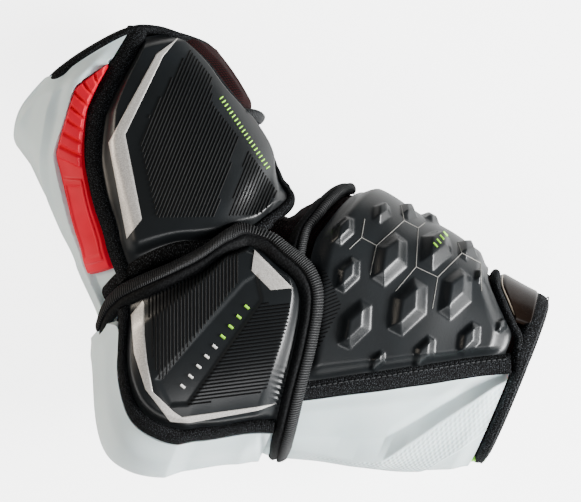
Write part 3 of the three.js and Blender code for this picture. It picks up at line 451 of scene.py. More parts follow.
def cast(carrier, marks):
    """Where marks on the middle plane, seen from the camera, fall on a piece: points and normals."""
    data = carrier.data
    tree = BVHTree.FromPolygons([v.co for v in data.vertices], [p.vertices for p in data.polygons])
    eye = Vector(EYE)
    places, normals = np.zeros(marks.shape[:-1] + (3,)), np.zeros(marks.shape[:-1] + (3,))
    for i in np.ndindex(marks.shape[:-1]):
        mark = Vector((marks[i][0] * 0.001, marks[i][1] * 0.001, MID_PLANE))
        hit = tree.ray_cast(eye, (mark - eye).normalized())
        if hit[0] is not None:
            places[i], normals[i] = np.array(hit[0]) * 1000, hit[1]
    return places, normals


def film(name, first, second, carrier, raised=0.35):
    """A thin bonded film between two lines of marks, laid on a piece."""
    t = even((len(first) - 1) * 22)
    share = even(12)[None, :, None]
    marks = at(np.array(first, float), t)[:, None] * (1 - share) + at(np.array(second, float), t)[:, None] * share
    places, normals = cast(carrier, marks)
    lift = raised * np.clip(1.2 - np.abs(2 * share - 1) ** 8, 0.2, 1)
    return closed(name, places + normals * lift, places - normals * 0.3)


def hatching(polygon, degrees, pitch):
    """Even parallel lines across a polygon, each as its two ends."""
    slant = math.radians(-degrees)
    spin = np.array([[math.cos(slant), -math.sin(slant)], [math.sin(slant), math.cos(slant)]])
    corners = np.array(polygon, float) @ spin.T
    lines = []
    for level in np.arange(corners[:, 1].min() + pitch / 2, corners[:, 1].max(), pitch):
        cuts = []
        for a, b in zip(corners, np.roll(corners, -1, 0)):
            if (a[1] > level) != (b[1] > level):
                cuts.append(a[0] + (level - a[1]) * (b[0] - a[0]) / (b[1] - a[1]))
        cuts.sort()
        lines += [np.array([[p, level], [q, level]]) @ spin for p, q in zip(cuts[::2], cuts[1::2]) if q - p > 1.5]
    return lines


def threads_group():
    """Geometry Nodes: round beads along a mesh's edges, which first fall from the camera onto a carrier."""
    group = bpy.data.node_groups.new("beads_along_lines", "GeometryNodeTree")
    for name, kind in (("Lines", "Geometry"), ("Carrier", "Object"), ("Eye", "Vector"), ("Falls", "Float"),
                       ("Radius", "Float"), ("Lift", "Float"), ("Finish", "Material")):
        group.interface.new_socket(name, in_out="INPUT", socket_type="NodeSocket" + kind)
    group.interface.new_socket("Beads", in_out="OUTPUT", socket_type="NodeSocketGeometry")
    give = add(group, "NodeGroupInput").outputs
    curve = add(group, "GeometryNodeMeshToCurve", {"Mesh": give["Lines"]})
    place = add(group, "GeometryNodeInputPosition")
    way = add(group, "ShaderNodeVectorMath", {0: place, 1: give["Eye"]}, operation="SUBTRACT")
    target = add(group, "GeometryNodeObjectInfo", {"Object": give["Carrier"]}).outputs["Geometry"]
    ray = add(group, "GeometryNodeRaycast", {"Target Geometry": target, "Source Position": give["Eye"],
                                             "Ray Direction": way, "Ray Length": 5.0})
    above = add(group, "ShaderNodeVectorMath", {0: ray.outputs["Hit Normal"], "Scale": give["Lift"]},
                operation="SCALE")
    lying = add(group, "ShaderNodeVectorMath", {0: ray.outputs["Hit Position"], 1: above}, operation="ADD")
    falls = add(group, "FunctionNodeCompare", {0: give["Falls"], 1: 0.5}, operation="GREATER_THAN")
    chosen = add(group, "FunctionNodeBooleanMath", {0: falls, 1: ray.outputs["Is Hit"]}, operation="AND")
    moved = add(group, "GeometryNodeSetPosition", {"Geometry": curve, "Selection": chosen, "Position": lying})
    ring = add(group, "GeometryNodeCurvePrimitiveCircle", {"Resolution": 8, "Radius": give["Radius"]})
    beads = add(group, "GeometryNodeCurveToMesh", {"Curve": moved, "Profile Curve": ring, "Fill Caps": True})
    whole = add(group, "GeometryNodeRealizeInstances", {"Geometry": beads})
    done = add(group, "GeometryNodeSetMaterial", {"Geometry": whole, "Material": give["Finish"]})
    add(group, "NodeGroupOutput", {"Beads": done})
    return group


THREADS = threads_group()


def threads(name, lines, radius, material, slot, node, carrier=None, lift=0.0):
    """Beads along lines in millimetres: marks that fall onto a carrier, or points already in their place."""
    points, edges = [], []
    for path in lines:
        path = np.asarray(path, float)
        if carrier is not None:
            steps = max(2, int(np.linalg.norm(path[-1] - path[0]) / 1.2)) * (len(path) - 1)
            path = np.concatenate([at(path, even(steps)), np.full((steps + 1, 1), MID_PLANE * 1000)], 1)
        else:
            path[:, 2] = np.maximum(path[:, 2], radius + 0.05)
        edges += [(len(points) + i, len(points) + i + 1) for i in range(len(path) - 1)]
        points += [tuple(q * 0.001) for q in path]
    mesh = bpy.data.meshes.new(name + "_lines")
    mesh.from_pydata(points, edges, [])
    piece = placed(name, mesh)
    modifier = piece.modifiers.new("beads", "NODES")
    modifier.node_group = THREADS
    sockets = {item.name: item.identifier for item in THREADS.interface.items_tree if item.in_out == "INPUT"}
    given = {"Carrier": carrier, "Eye": EYE, "Falls": 1.0 if carrier is not None else 0.0,
             "Radius": radius * 0.001, "Lift": lift * 0.001, "Finish": material}
    for key, value in given.items():
        if value is not None:
            modifier[sockets[key]] = value
    bpy.context.view_layer.update()
    graph = bpy.context.evaluated_depsgraph_get()
    made = bpy.data.meshes.new_from_object(piece.evaluated_get(graph))
    piece.modifiers.remove(modifier)
    piece.data = made
    made.polygons.foreach_set("use_smooth", np.ones(len(made.polygons), bool))
    return fitted(piece, material, slot, node)


def printed(name, lines, radius, ink, carrier, node, lift=0.0):
    return threads(name, lines, radius, ink, "moulded_foam", node, carrier, lift)


# Cross-linked foam under a pressed black skin: deep satin black, with narrow bright lights along its edges.
FOAM, tree, base = finish_of("satin_skinned_foam_black", Roughness=0.33, Specular_IOR_Level=0.38)
where = add(tree, "ShaderNodeTexCoord").outputs["Object"]
cloud = add(tree, "ShaderNodeTexNoise", {"Vector": where, "Scale": 30.0, "Detail": 4.0})
pebble = add(tree, "ShaderNodeTexVoronoi", {"Vector": where, "Scale": 1100.0})
surface(tree, base, cloud, [(0.35, "#101213"), (0.7, "#181b1d")], pebble, 0.1, 0.0002)

inner = beside(upper_edge, -edge_width / 2 + 0.8)
seam = beside(UPPER_SEAM, -SEAM_TAPE / 2 + 0.8)
corner = nearest(inner, [0.49, 42])
meet = nearest(stretch(inner, 0, 0.3), at(seam, 0.97)) * 0.3
seam_side = stretch(seam, 0.02, nearest(seam, at(inner, meet)))
front_side = stretch(inner, 0.99, corner)
foot_side = meeting(stretch(inner, corner, meet), front_side[-1], seam_side[-1])
places = between(straight(front_side[0], seam_side[0]), foot_side, front_side, seam_side, 190, 170)
height = thinned(places, 3.2, 8.3, 10)
upper_panel = laid("upper_panel", places, 1.8, height, FOAM, "moulded_foam", 1.0)
laid("upper_panel_far", places[::2, ::2] * [1, -1], 1.8, height[::2, ::2] - 0.4, FOAM, "moulded_foam", 1.0)

# Heat-bonded silver film with a fine grain: a warm pale grey chevron. The black hatching and the row of green
# dashes are screen-printed in a thick ink, which stands up and breaks the satin of the foam.
SILVER, tree, base = finish_of("bonded_silver_film", Roughness=0.42, Metallic=0.35, Specular_IOR_Level=0.5)
where = add(tree, "ShaderNodeTexCoord").outputs["Object"]
grain = add(tree, "ShaderNodeTexNoise", {"Vector": where, "Scale": 1500.0, "Detail": 2.0})
surface(tree, base, grain, [(0.35, "#bdb8b2"), (0.7, "#e2ded8")])
INK, tree, base = finish_of("raised_black_ink", Base_Color=linear("#020202"), Roughness=0.55,
                            Specular_IOR_Level=0.15)
GREEN_INK, tree, base = finish_of("raised_green_ink", Base_Color=linear("#a5f03c"), Roughness=0.5)
chevron = film("chevron_film", [[-22.2, 149.9], [-33.5, 141.7], [-58.9, 94.7], [-49.2, 43.8]],
               [[-22.2, 149.9], [-30.0, 140.4], [-50.0, 99.0], [-41.2, 54.3]], upper_panel)
fitted(chevron, SILVER, "moulded_foam", "upper_panel")
lines = hatching([[-16.2, 144.4], [-4.1, 129.3], [-3.7, 115.3], [10.3, 97.4], [-2.5, 55.4], [-33.2, 55.1],
                  [-42.2, 94.7], [-37.2, 109.1], [-29.0, 122.7], [-22.4, 133.9]], 68, 1.77)
lines += hatching([[14.9, 90.8], [30.8, 68.4], [24.6, 59.8], [20.8, 56.6], [4.5, 56.0]], 68, 1.65)
printed("upper_hatching", lines, 0.48, INK, upper_panel, "upper_panel")
dashes = [[[0.5 + 29.0 * t - 0.8, 119.2 - 43.5 * t - 0.9], [0.5 + 29.0 * t + 0.9, 119.2 - 43.5 * t + 0.4]]
          for t in np.linspace(0.01, 0.86, 20)]
printed("upper_green_dashes", dashes, 0.38, GREEN_INK, upper_panel, "upper_panel")

# ---- Upper arm tapes ----
# Black knitted polyester tape, folded and sewn over every edge: a wide one over the joint of panel and shell,
# one along the panel's foot and up its front edge, and one round the whole opening.


def tape_top(sides, low, thick, crown=2.6, groove=0.0):
    """The height of a tape's top: rolled over at both edges, and pressed in along a seam beside its middle."""
    rolled = low + 0.5 + (thick - 0.5) * (1 - np.abs(sides) ** crown) ** (1 / 1.8)
    return rolled - groove * np.exp(-((sides - 0.02) / 0.13) ** 2) - groove * 0.35 * rise((sides - 0.02) / 0.2)


def tape(name, material, slot, path, width, low, thick, count=None, ring=False, crown=2.6, cols=17, groove=0.0):
    """Tape laid along a line of places: flat below, with its two long edges rolled over."""
    width, low = np.broadcast_to(width, len(path)), np.broadcast_to(low, len(path))
    t = even(count or int(spread(path).sum() / 0.9))
    if ring:
        t = t[:-1]
    sides = np.sin(np.linspace(-1, 1, cols) * math.pi / 2)
    centre, out = at(path, t), at(aside(path), t)
    half, under = (np.interp(t, even(len(path) - 1), v)[:, None] for v in (width / 2, low))
    places = centre[:, None] + out[:, None] * (sides[None, :, None] * half[..., None])
    return laid(name, places, under, tape_top(sides, under, thick, crown, groove), material, slot, ring=ring)


# Knitted binding tape: courses of loops about 1 mm apart, matt black yarn with a few bright grey filaments.
KNIT, tree, base = finish_of("knitted_polyester_tape", Roughness=0.85, Specular_IOR_Level=0.08)
uv = add(tree, "ShaderNodeUVMap", uv_map="cloth_mm")
stretched = add(tree, "ShaderNodeMapping", {"Vector": uv, "Scale": (1.0, 0.62, 1.0)})
loops = add(tree, "ShaderNodeTexVoronoi", {"Vector": stretched, "Scale": 0.95, "Randomness": 0.55},
            voronoi_dimensions="2D")
flecks = add(tree, "ShaderNodeTexNoise", {"Vector": stretched, "Scale": 2.4, "Detail": 1.0}, noise_dimensions="2D")
dark = add(tree, "ShaderNodeValToRGB", {"Fac": loops}, [(0.1, "#121213"), (0.55, "#050505")])
fleck = add(tree, "ShaderNodeValToRGB", {"Fac": flecks}, [(0.60, "#000000"), (0.70, "#ffffff")])
mix = add(tree, "ShaderNodeMix", {"Factor": fleck, 6: dark, 7: linear("#404346")}, data_type="RGBA")
tree.links.new(mix.outputs[2], base.inputs["Base Color"])
bump = add(tree, "ShaderNodeBump", {"Strength": 0.9, "Distance": 0.0004, "Height": loops}, invert=True)
tree.links.new(bump.outputs[0], base.inputs["Normal"])

FLANKS = ((1, ""), (-1, "_far"))
TAPE_LOW = 0.9
upper_run = stretch(UPPER_SEAM, 0.0, 0.99)
for side, name in FLANKS:
    tape("upper_seam_tape" + name, KNIT, "edge_tape", upper_run * [1, side], SEAM_TAPE + 0.8, TAPE_LOW, 5.0)
    tape("upper_edge_tape" + name, KNIT, "edge_tape", upper_edge * [1, side], edge_width + 0.8, TAPE_LOW, 4.0)
rim_low = -0.2 - 5.0 * rise((off_crook(rim[:, 1]) - 102) / 16)
tape("rim_tape", KNIT, "edge_tape", beside(rim, -RIM_TAPE / 2), RIM_TAPE + 1.2, rim_low, 5.7, 400, ring=True)

# ---- Strap ----
# The soft band across the crook side of the upper arm: black mesh over red foam, with a bound, stitched edge
# at its foot. It is cut flat and sewn in under the tapes on both sides.


def ribs(path, width, low, thick, pitch, left=-0.96, right=0.96, sunk=0.1, groove=0.0):
    """Lines across a tape, following its rolled section."""
    count = max(2, int(spread(path).sum() / pitch))
    t = (np.arange(count) + 0.5) / count
    sides = np.sin(np.linspace(math.asin(left), math.asin(right), 9))
    centre, out = at(path, t), at(aside(path), t)
    under = np.interp(t, even(len(path) - 1), np.broadcast_to(low, len(path)))[:, None]
    places = centre[:, None] + out[:, None] * (sides[None, :, None] * width / 2)
    return list(over(places, tape_top(sides, under, thick, groove=groove) - sunk))


STRAP_FOOT = line([[0.222, -34], [0.243, 0], [0.222, 34]])
side = stretch(beside(UPPER_FRONT, 0.6), 0.02, 0.7)
foot = beside(STRAP_FOOT, 1.6)
near = stretch(side, 0.0, nearest(side, foot[-8]))
far = near * [1, -1]
top = rim_at(np.linspace(far[0, 1], near[0, 1], 241), RIM_TAPE - 0.6)
places = between(meeting(top, far[0], near[0]), meeting(foot, far[-1], near[-1]), far, near, 70, 140)
creases = 0.45 * np.sin(places[..., 1] * 0.45 + 9 * places[..., 0]) * np.sin(places[..., 0] * 30)
laid("upper_strap", places, 0.8, thinned(places, 2.6, 6.4, 8) + creases,
     spacer_mesh("spacer_mesh_strap", "#050404", "#340709", 1.3), "mesh_strap", 0.8)
EDGE_WIDE, EDGE_THICK = 6.2, 7.4
edge_line = stretch(STRAP_FOOT, 0.02, 0.98)
tape("upper_strap_edge", KNIT, "edge_tape", edge_line, EDGE_WIDE, TAPE_LOW, EDGE_THICK)
# Spun polyester sewing yarn, dull and a shade lighter than the tape, so that each stitch can be told.
YARN, tree, base = finish_of("spun_polyester_yarn", Base_Color=linear("#232526"), Roughness=0.7)
row = ribs(edge_line, EDGE_WIDE, TAPE_LOW, EDGE_THICK, 2.1, -0.9, 0.9, 0.05)
threads("upper_strap_stitches", row, 0.4, YARN, "edge_tape", "upper_strap_edge")

# ---- Forearm panel ----
# Black pressed foam that wraps the forearm over the crook from seam to seam, with long six-sided pods raised
# in it. Each pod has a narrow flat top and broad sloping sides, pressed in the same mould.


def within(marks, polygon):
    """How far marks are inside a polygon, in millimetres, and below nothing outside it."""
    polygon = np.array(polygon, float)
    nearest_edge, odd = np.full(marks.shape[:-1], 1e9), np.zeros(marks.shape[:-1], bool)
    for a, b in zip(polygon, np.roll(polygon, -1, 0)):
        t = np.clip((marks - a) @ (b - a) / ((b - a) @ (b - a)), 0, 1)
        nearest_edge = np.minimum(nearest_edge, np.linalg.norm(marks - a - t[..., None] * (b - a), axis=-1))
        crosses = (a[1] > marks[..., 1]) != (b[1] > marks[..., 1])
        step = np.where(b[1] == a[1], 1, b[1] - a[1])
        odd ^= crosses & (marks[..., 0] < a[0] + (marks[..., 1] - a[1]) * (b[0] - a[0]) / step)
    return np.where(odd, nearest_edge, -nearest_edge)


FOREARM_SEAM = line([
    [0.590, 124], [0.646, 120.5], [0.705, 115.5], [0.771, 108.5], [0.834, 100], [0.898, 90.5], [0.980, 79.5]])
COLLAR = line([
    [0.604, -108], [0.584, -90], [0.556, -72], [0.540, -52], [0.549, -42], [0.570, -22], [0.588, 0], [0.570, 22],
    [0.549, 42], [0.540, 52], [0.556, 72], [0.584, 90], [0.604, 108]])
END_HALF = np.array([[0.900, 0], [0.900, 16], [0.905, 32], [0.928, 44], [0.957, 55], [0.979, 63.5], [0.982, 79.5]])
FOREARM_END = line(np.concatenate([END_HALF[1:][::-1] * [1, -1], END_HALF]))
FOREARM_TAPE, COLLAR_BAND, END_TAPE = 12.5, 9.0, 4.5
POD_LENGTH, POD_WIDTH, POD_TURN, POD_HEIGHT, POD_BEVEL = 31.0, 20.0, math.radians(84), 4.3, 6.0
POD_OUTLINE = np.array([[0.48, -0.22], [0.47, 0.18], [0.04, 0.5], [-0.48, 0.22], [-0.47, -0.22], [0.04, -0.5]])
# along, turn, size
PODS = [
    [0.609, 51, 0.60], [0.661, 35, 0.56], [0.705, 54.5, 1.04], [0.776, 37.5, 1.00], [0.645, 68, 0.67],
    [0.691, 86.5, 0.88], [0.767, 71, 1.06], [0.838, 55, 1.00], [0.891, 73.5, 0.64], [0.825, 88.5, 0.62],
    [0.753, 99.5, 0.42], [0.706, 21, 0.60], [0.831, 24.5, 0.70], [0.750, 4, 0.60], [0.870, 38, 0.40],
    [0.938, 59.5, 0.36]]
collar_inner = beside(COLLAR, -COLLAR_BAND / 2 + 0.6)
end_inner = beside(FOREARM_END, END_TAPE / 2 - 0.6)
near = stretch(beside(FOREARM_SEAM, -FOREARM_TAPE / 2 + 0.8), 0.12, 0.975)
far = near * [1, -1]
end_side = meeting(stretch(end_inner, 0.01, 0.99), far[-1], near[-1])
places = between(meeting(collar_inner, far[0], near[0]), end_side, far, near, 150, 310)
height = thinned(places, 3.2, 8.0, 8)
for along, bearing, size in PODS:
    per_along, per_degree = measures(np.array([along, bearing]))
    a, b = (places[..., 0] - along) * per_along, (places[..., 1] - bearing) * per_degree
    c, s = math.cos(POD_TURN), math.sin(POD_TURN)
    here = np.stack([(a * c - b * s) / size, (a * s + b * c) / size], -1)
    slope = np.clip(within(here, POD_OUTLINE * [POD_LENGTH, POD_WIDTH]) / POD_BEVEL, 0, 1)
    height = height + POD_HEIGHT * (0.35 + 0.7 * size) * (0.6 * slope + 0.4 * rise(slope))
forearm_panel = laid("forearm_panel", places, 1.8, height, FOAM, "moulded_foam", 1.0)
# A thin grey net of six-sided cells between the pods, a patch of hatching and four slanted bars, in raised ink.
GREY_INK, tree, base = finish_of("raised_grey_ink", Base_Color=linear("#7d7b76"), Roughness=0.5)
net = {"a": (76.9, 54.3), "b": (75.2, 44.5), "c": (68.7, 38.3), "d": (83.2, 40.2), "e": (79.7, 24.7),
       "f": (97.7, 53.4), "g": (96.4, 61.2), "h": (105.2, 49.5), "i": (108.8, 52.3), "j": (104.1, 28.9),
       "k": (93.2, 16.1), "l": (115.6, 23.5), "m": (112.7, 6.8), "n": (128.4, 36.3), "o": (126.3, 41.4),
       "p": (138.3, 30.9), "q": (138.8, 16.1)}
net_lines = [[net[a], net[b]] for a, b in "ba bc bd de df fg fh hi hj jk jl lm ln no np pq".split()]
printed("forearm_net_lines", net_lines, 0.24, GREY_INK, forearm_panel, "forearm_panel", 0.05)
lines = hatching([[54.5, 31.0], [64.6, 8.4], [51.6, -16.5]], 22, 1.8)
printed("forearm_hatching", lines, 0.38, INK, forearm_panel, "forearm_panel")
bars = [[[113.4 + 1.7 * i, 41.6 + 2.0 * i], [115.4 + 1.7 * i, 39.4 + 2.0 * i]] for i in range(4)]
printed("forearm_green_bars", bars, 0.5, GREEN_INK, forearm_panel, "forearm_panel", 0.1)

# ---- Forearm shell ----
# The pale pressed EVA shell over the back of the forearm. A valley and a ridge run from the wrist's corner
# down to the back on each side, and the field past the ridge has a scale of small diamonds pressed into it.
seam = stretch(beside(FOREARM_SEAM, FOREARM_TAPE / 2 - 0.8), 0.02, 0.99)
far = over_back(seam)
wrist_inside = WRIST_LINE - (WRIST_TAPE / 2 - 0.6) / RUN
first = line(np.stack([np.full(5, 0.6), seam[0, 1] + (far[0, 1] - seam[0, 1]) * even(4)], -1))
last = line(np.stack([np.full(5, wrist_inside), seam[-1, 1] + (far[-1, 1] - seam[-1, 1]) * even(4)], -1))
places = between(meeting(first, seam[0], far[0]), meeting(last, seam[-1], far[-1]), seam, far, 240, 204)
side_turn = off_crook(places[..., 1])
VALLEY = [[0.62, 143], [0.677, 142.5], [0.745, 141], [0.819, 135.5], [0.851, 124.5], [0.883, 114],
          [0.914, 104.5], [0.949, 94], [0.985, 84]]
RIDGE = [[0.62, 150], [0.70, 151], [0.78, 151], [0.831, 146.5], [0.857, 135], [0.895, 121], [0.935, 108],
         [0.956, 100], [0.978, 92], [0.99, 87]]
FIELD_END = [[0.86, 200], [0.902, 174], [0.928, 148.5], [0.953, 137], [0.981, 124.5], [1.0, 117]]
valley, ridge, field_end = (np.interp(places[..., 0], *np.array(table).T) for table in (VALLEY, RIDGE, FIELD_END))
degree = measures(places)[1]
up_wedge = np.clip((side_turn - valley) / np.maximum(ridge - valley, 1), 0, 1)
fade = rise((places[..., 0] - 0.6) / 0.16)
relief = (-0.9 * rise(1 - np.abs(side_turn - valley) * degree / 9) * (side_turn < valley)
          + up_wedge * 4.6 - 0.9 * (side_turn >= valley) * (1 - up_wedge)) * fade
past = (side_turn - ridge) * degree
to_end = (field_end - side_turn) * degree
relief -= 2.4 * rise(past / 24) * fade + 0.8 * rise(-to_end / 1.2)
DIAMOND, DIAMOND_DEPTH = 2.2, 0.42
a, b = places[..., 0] * RUN, side_turn * 0.75
waves = [np.sin(math.pi * (0.92 * a + lean * b) / DIAMOND) for lean in (0.5, -0.5)]
scales = np.abs(waves[0] * waves[1]) ** 0.7
field = rise((past - 1.5) / 1.5) * rise(to_end / 1.2) * rise((places[..., 0] - 0.66) / 0.08)
relief += DIAMOND_DEPTH * (scales - 1) * field
laid("forearm_shell", places, 1.8, thinned(places, 5.0, 7.0, 9) + relief, PALE, "moulded_shell", 1.0)

# ---- Forearm tapes ----
# The same knitted tape, 12 mm wide, over the joint of panel and shell, with one row of lock stitches near its
# upper edge; narrow tape round the panel's end and the wrist; a ribbed band where the panel meets the elbow.


def stitches(path, offset, height, length=1.7, gap=1.1):
    """A row of stitches beside a line of places, each as its two ends just above the tape."""
    row = beside(path, offset)
    run = np.concatenate([[0], np.cumsum(spread(row))])
    starts = np.arange(0.5, run[-1] - length, length + gap)
    ends = np.stack([starts, starts + length / 2, starts + length], -1) / run[-1]
    t = np.interp(ends * run[-1], run, even(len(run) - 1))
    return list(over(at(row, t), np.array([height - 0.35, height, height - 0.35])))


# Ribbed stretch tape: spun yarn over elastic, matt black with a faint fleck, under ribs of twisted cover yarn
# that catch a thin line of light each. The ribs are 1.35 mm apart, drawn coarser than real ones to show.
RIBBED, tree, base = finish_of("ribbed_stretch_tape", Roughness=0.8, Specular_IOR_Level=0.15)
uv = add(tree, "ShaderNodeUVMap", uv_map="cloth_mm")
flecks = add(tree, "ShaderNodeTexNoise", {"Vector": uv, "Scale": 0.9, "Detail": 3.0}, noise_dimensions="2D")
surface(tree, base, flecks, [(0.4, "#050506"), (0.72, "#1a1b1c")], flecks, 0.5, 0.0003)

RIB_YARN, tree, base = finish_of("twisted_cover_yarn", Base_Color=linear("#1a1b1c"), Roughness=0.6,
                                 Specular_IOR_Level=0.4)
RIB_PLACE = (1.35, -0.985, -0.12, 0.08)  # pitch, from and to as shares of the half width, sunk
for side, name in FLANKS:
    path = stretch(FOREARM_SEAM, 0.0, 1.0) * [1, side]
    tape("forearm_seam_tape" + name, KNIT, "edge_tape", path, FOREARM_TAPE + 0.8, TAPE_LOW, 4.6)
    row = stitches(FOREARM_SEAM * [1, side], -side * FOREARM_TAPE * 0.24, 5.65)
    threads("forearm_stitches" + name, row, 0.32, YARN, "edge_tape", "forearm_seam_tape" + name)
COLLAR_THICK, COLLAR_GROOVE = 5.4, 1.2
tape("forearm_collar", RIBBED, "ribbed_band", COLLAR, COLLAR_BAND + 0.8, TAPE_LOW, COLLAR_THICK, cols=25,
     groove=COLLAR_GROOVE)
row = ribs(COLLAR, COLLAR_BAND + 0.8, TAPE_LOW, COLLAR_THICK, *RIB_PLACE, COLLAR_GROOVE)
threads("forearm_collar_ribs", row, 0.34, RIB_YARN, "ribbed_band", "forearm_collar")
tape("panel_end_tape", KNIT, "edge_tape", stretch(FOREARM_END, 0.06, 0.94), END_TAPE + 0.6, TAPE_LOW, 4.0)
turn = np.linspace(0, 360, 361)
wrist = np.stack([np.full(361, WRIST_LINE), turn], -1)
wide = 4.0 * rise((84 - off_crook(turn)) / 14)
tape("wrist_tape", KNIT, "edge_tape", beside(wrist, wide / 2), WRIST_TAPE + 0.8 + wide, -0.4, 5.0, 360, ring=True)
row = stitches(wrist, -WRIST_TAPE * 0.28, 4.85, 1.4, 1.0)
threads("wrist_stitches", row, 0.28, YARN, "edge_tape", "wrist_tape")

# ---- Wrist plate ----
# A smooth smoked plate on the crook side of the wrist, moulded in clear-coated plastic film and framed by the
# tapes round it.
inner = beside(FOREARM_END, -END_TAPE / 2 + 0.3)
share = nearest(inner, [0.955, -54])
left = stretch(inner, share, 1 - share)
right = line([[wrist_inside, turn] for turn in (left[0, 1], 0, left[-1, 1])])
places = between(left, right, straight(left[0], right[0]), straight(left[-1], right[-1]), 40, 120)
# Clear-coated, smoked film over a dark ground: brown-black with a soft shine, and a thin bright bezel below.
PLATE, tree, base = finish_of("smoked_gloss_plate", Roughness=0.25, Specular_IOR_Level=0.12)
where = add(tree, "ShaderNodeTexCoord").outputs["Object"]
cloud = add(tree, "ShaderNodeTexNoise", {"Vector": where, "Scale": 22.0, "Detail": 2.0})
surface(tree, base, cloud, [(0.3, "#070403"), (0.7, "#170f0a")])
laid("wrist_plate", places, 1.0, thinned(places, 3.0, 5.0, 3), PLATE, "gloss_plate")
BEZEL, tree, base = finish_of("bright_bezel_plastic", Base_Color=linear("#9b8d7c"), Roughness=0.3)
bezel = stretch(beside(left, -1.0), 0.62, 0.97, 60)
threads("wrist_plate_bezel", [over(bezel, 4.2)], 0.45, BEZEL, "gloss_plate", "wrist_plate")

# ---- Pull tab ----
# A short fold of bright green webbing held under the wrist tape at the back of the arm.
TAB_TURN, TAB_HELD, TAB_FREE = 167.0, 5.2, 2.6
tab_line = straight([WRIST_LINE - TAB_HELD / RUN, TAB_TURN], [WRIST_LINE + TAB_FREE / RUN, TAB_TURN], 40)
# Woven nylon webbing, dyed lime green, with a low sheen and fine cross ribs from its weft.
TAB, tree, base = finish_of("woven_green_webbing", Roughness=0.7, Sheen_Weight=0.2)
uv = add(tree, "ShaderNodeUVMap", uv_map="cloth_mm")
weave = add(tree, "ShaderNodeTexWave", {"Vector": uv, "Scale": 0.35, "Distortion": 0.4}, bands_direction="Y")
surface(tree, base, weave, [(0.2, "#74c326"), (0.8, "#9df03a")], weave, 0.5, 0.0002)
tape("pull_tab", TAB, "tab_webbing", tab_line, 7.0, 1.2, 2.8, 24, crown=8)

# ---- Elbow cap ----
# The pale cap over the point of the elbow, pressed EVA as the other shells, thicker and rounder. A soft step
# crosses it low down, where the mould's lower half begins.


def seen(points):
    """Where points in millimetres fall, seen from the camera, on the level plane through the arm's middle."""
    eye = np.array(EYE) * 1000
    return eye[:2] + (points[..., :2] - eye[:2]) * ((eye[2] - MID_PLANE * 1000) / (eye[2] - points[..., 2:3]))


ELBOW_LOOP = line([
    [0.350, 138.5], [0.351, 127], [0.372, 105], [0.398, 82], [0.420, 67], [0.452, 59], [0.490, 59.5],
    [0.530, 64.5], [0.574, 72], [0.602, 81], [0.620, 98], [0.633, 118], [0.645, 136], [0.652, 155]])
ELBOW_SEAM = line([
    [0.352, 129], [0.388, 134.5], [0.420, 135], [0.455, 136.5], [0.482, 138.5], [0.550, 139], [0.6445, 135]])
ELBOW_SEAM_TAPE, ELBOW_BAND = 8.5, 11.0
seam = beside(ELBOW_SEAM, ELBOW_SEAM_TAPE / 2 - 0.6)
end = nearest(seam, [0.626, 142])
near = line(np.concatenate([[[0.356, 143]], at(seam, 0.09 + (end - 0.09) * even(7))]))
far = over_back(near)
places = between(straight(near[0], far[0]), straight(near[-1], far[-1]), near, far, 150, 150)
side_turn = off_crook(places[..., 1])
step = 0.9 * rise((side_turn - 163) / 3) * rise((places[..., 0] - 0.42) / 0.03)
cap_height = thinned(places, 13.0, 16.0, 12) - step
across_cap = seen(over(places, cap_height))[..., 0]
cap_height -= 0.8 * np.exp(-((across_cap - 21.7) / 1.4) ** 2) * rise((side_turn - 138) / 6)
# The same foam as the other shells, pressed a little glossier: pale blue-grey, smooth over its wide curve.
CAP = moulded("pressed_eva_cap", "#e0eeee", "#d8e7e9", 0.45)
laid("elbow_cap", places, 9.2, cap_height, CAP, "moulded_shell", 1.0)

# ---- Elbow panels ----
# Black pressed foam on both flanks of the elbow, a plateau with crisp rounded sides, over the ends of the
# upper arm and forearm panels.
inner = beside(ELBOW_LOOP, ELBOW_BAND / 2 - 0.4)
seam = beside(ELBOW_SEAM, -ELBOW_SEAM_TAPE / 2 + 0.6)
start, end = nearest(stretch(inner, 0, 0.3), at(seam, 0.02)) * 0.3, nearest(inner, at(seam, 0.93))
seam_side = meeting(stretch(seam, 0.02, 0.93), at(inner, start), at(inner, end))
one, two = start + (end - start) * 0.36, start + (end - start) * 0.6
left, right = stretch(inner, start, one), stretch(inner, end, two)
places = between(left, right, seam_side, stretch(inner, one, two), 170, 170)
height = thinned(places, 10.6, 16.0, 8.0)
CHANNEL = [[-35.0, -31.0], [-27.0, -46.0], [-16.0, -45.5], [24.0, 11.0], [20.5, 27.0], [12.0, 22.0]]
marks = seen(over(places, height))
height_near = height - 0.9 * rise(within(marks, CHANNEL) / 3.0)
around_wrinkles = np.exp(-((marks[..., 0] - 32.0) / 3.0) ** 2) * np.exp(-((marks[..., 1] + 38.0) / 9.0) ** 2)
height_near += 0.5 * np.sin(marks[..., 1] * 2.0 + marks[..., 0] * 0.7) * around_wrinkles
elbow_panel = laid("elbow_panel", places, 9.4, height_near, FOAM, "moulded_foam", 1.0)
border = film("elbow_border_film", [[-40.8, 11.1], [-47.0, 3.5], [-45.4, -16.7], [-39.3, -36.0], [-26.1, -53.3],
                                    [-16.0, -53.8], [20.4, -47.2], [29.2, -43.6]],
              [[-39.8, 9.8], [-39.8, -6.7], [-38.3, -21.8], [-35.3, -37.4], [-24.2, -48.0], [-20.0, -50.7],
               [20.4, -45.1], [29.2, -43.6]], elbow_panel)
fitted(border, SILVER, "moulded_foam", "elbow_panel")
quad = film("elbow_corner_film", [[18.5, 38.0], [38.8, 17.7]], [[17.0, 26.8], [27.1, 16.6]], elbow_panel)
fitted(quad, SILVER, "moulded_foam", "elbow_panel")
lines = hatching([[10.3, 39.0], [-38.3, 12.6], [-35.3, -21.8], [-31.2, -32.0], [9.8, 20.7]], 90, 1.87)
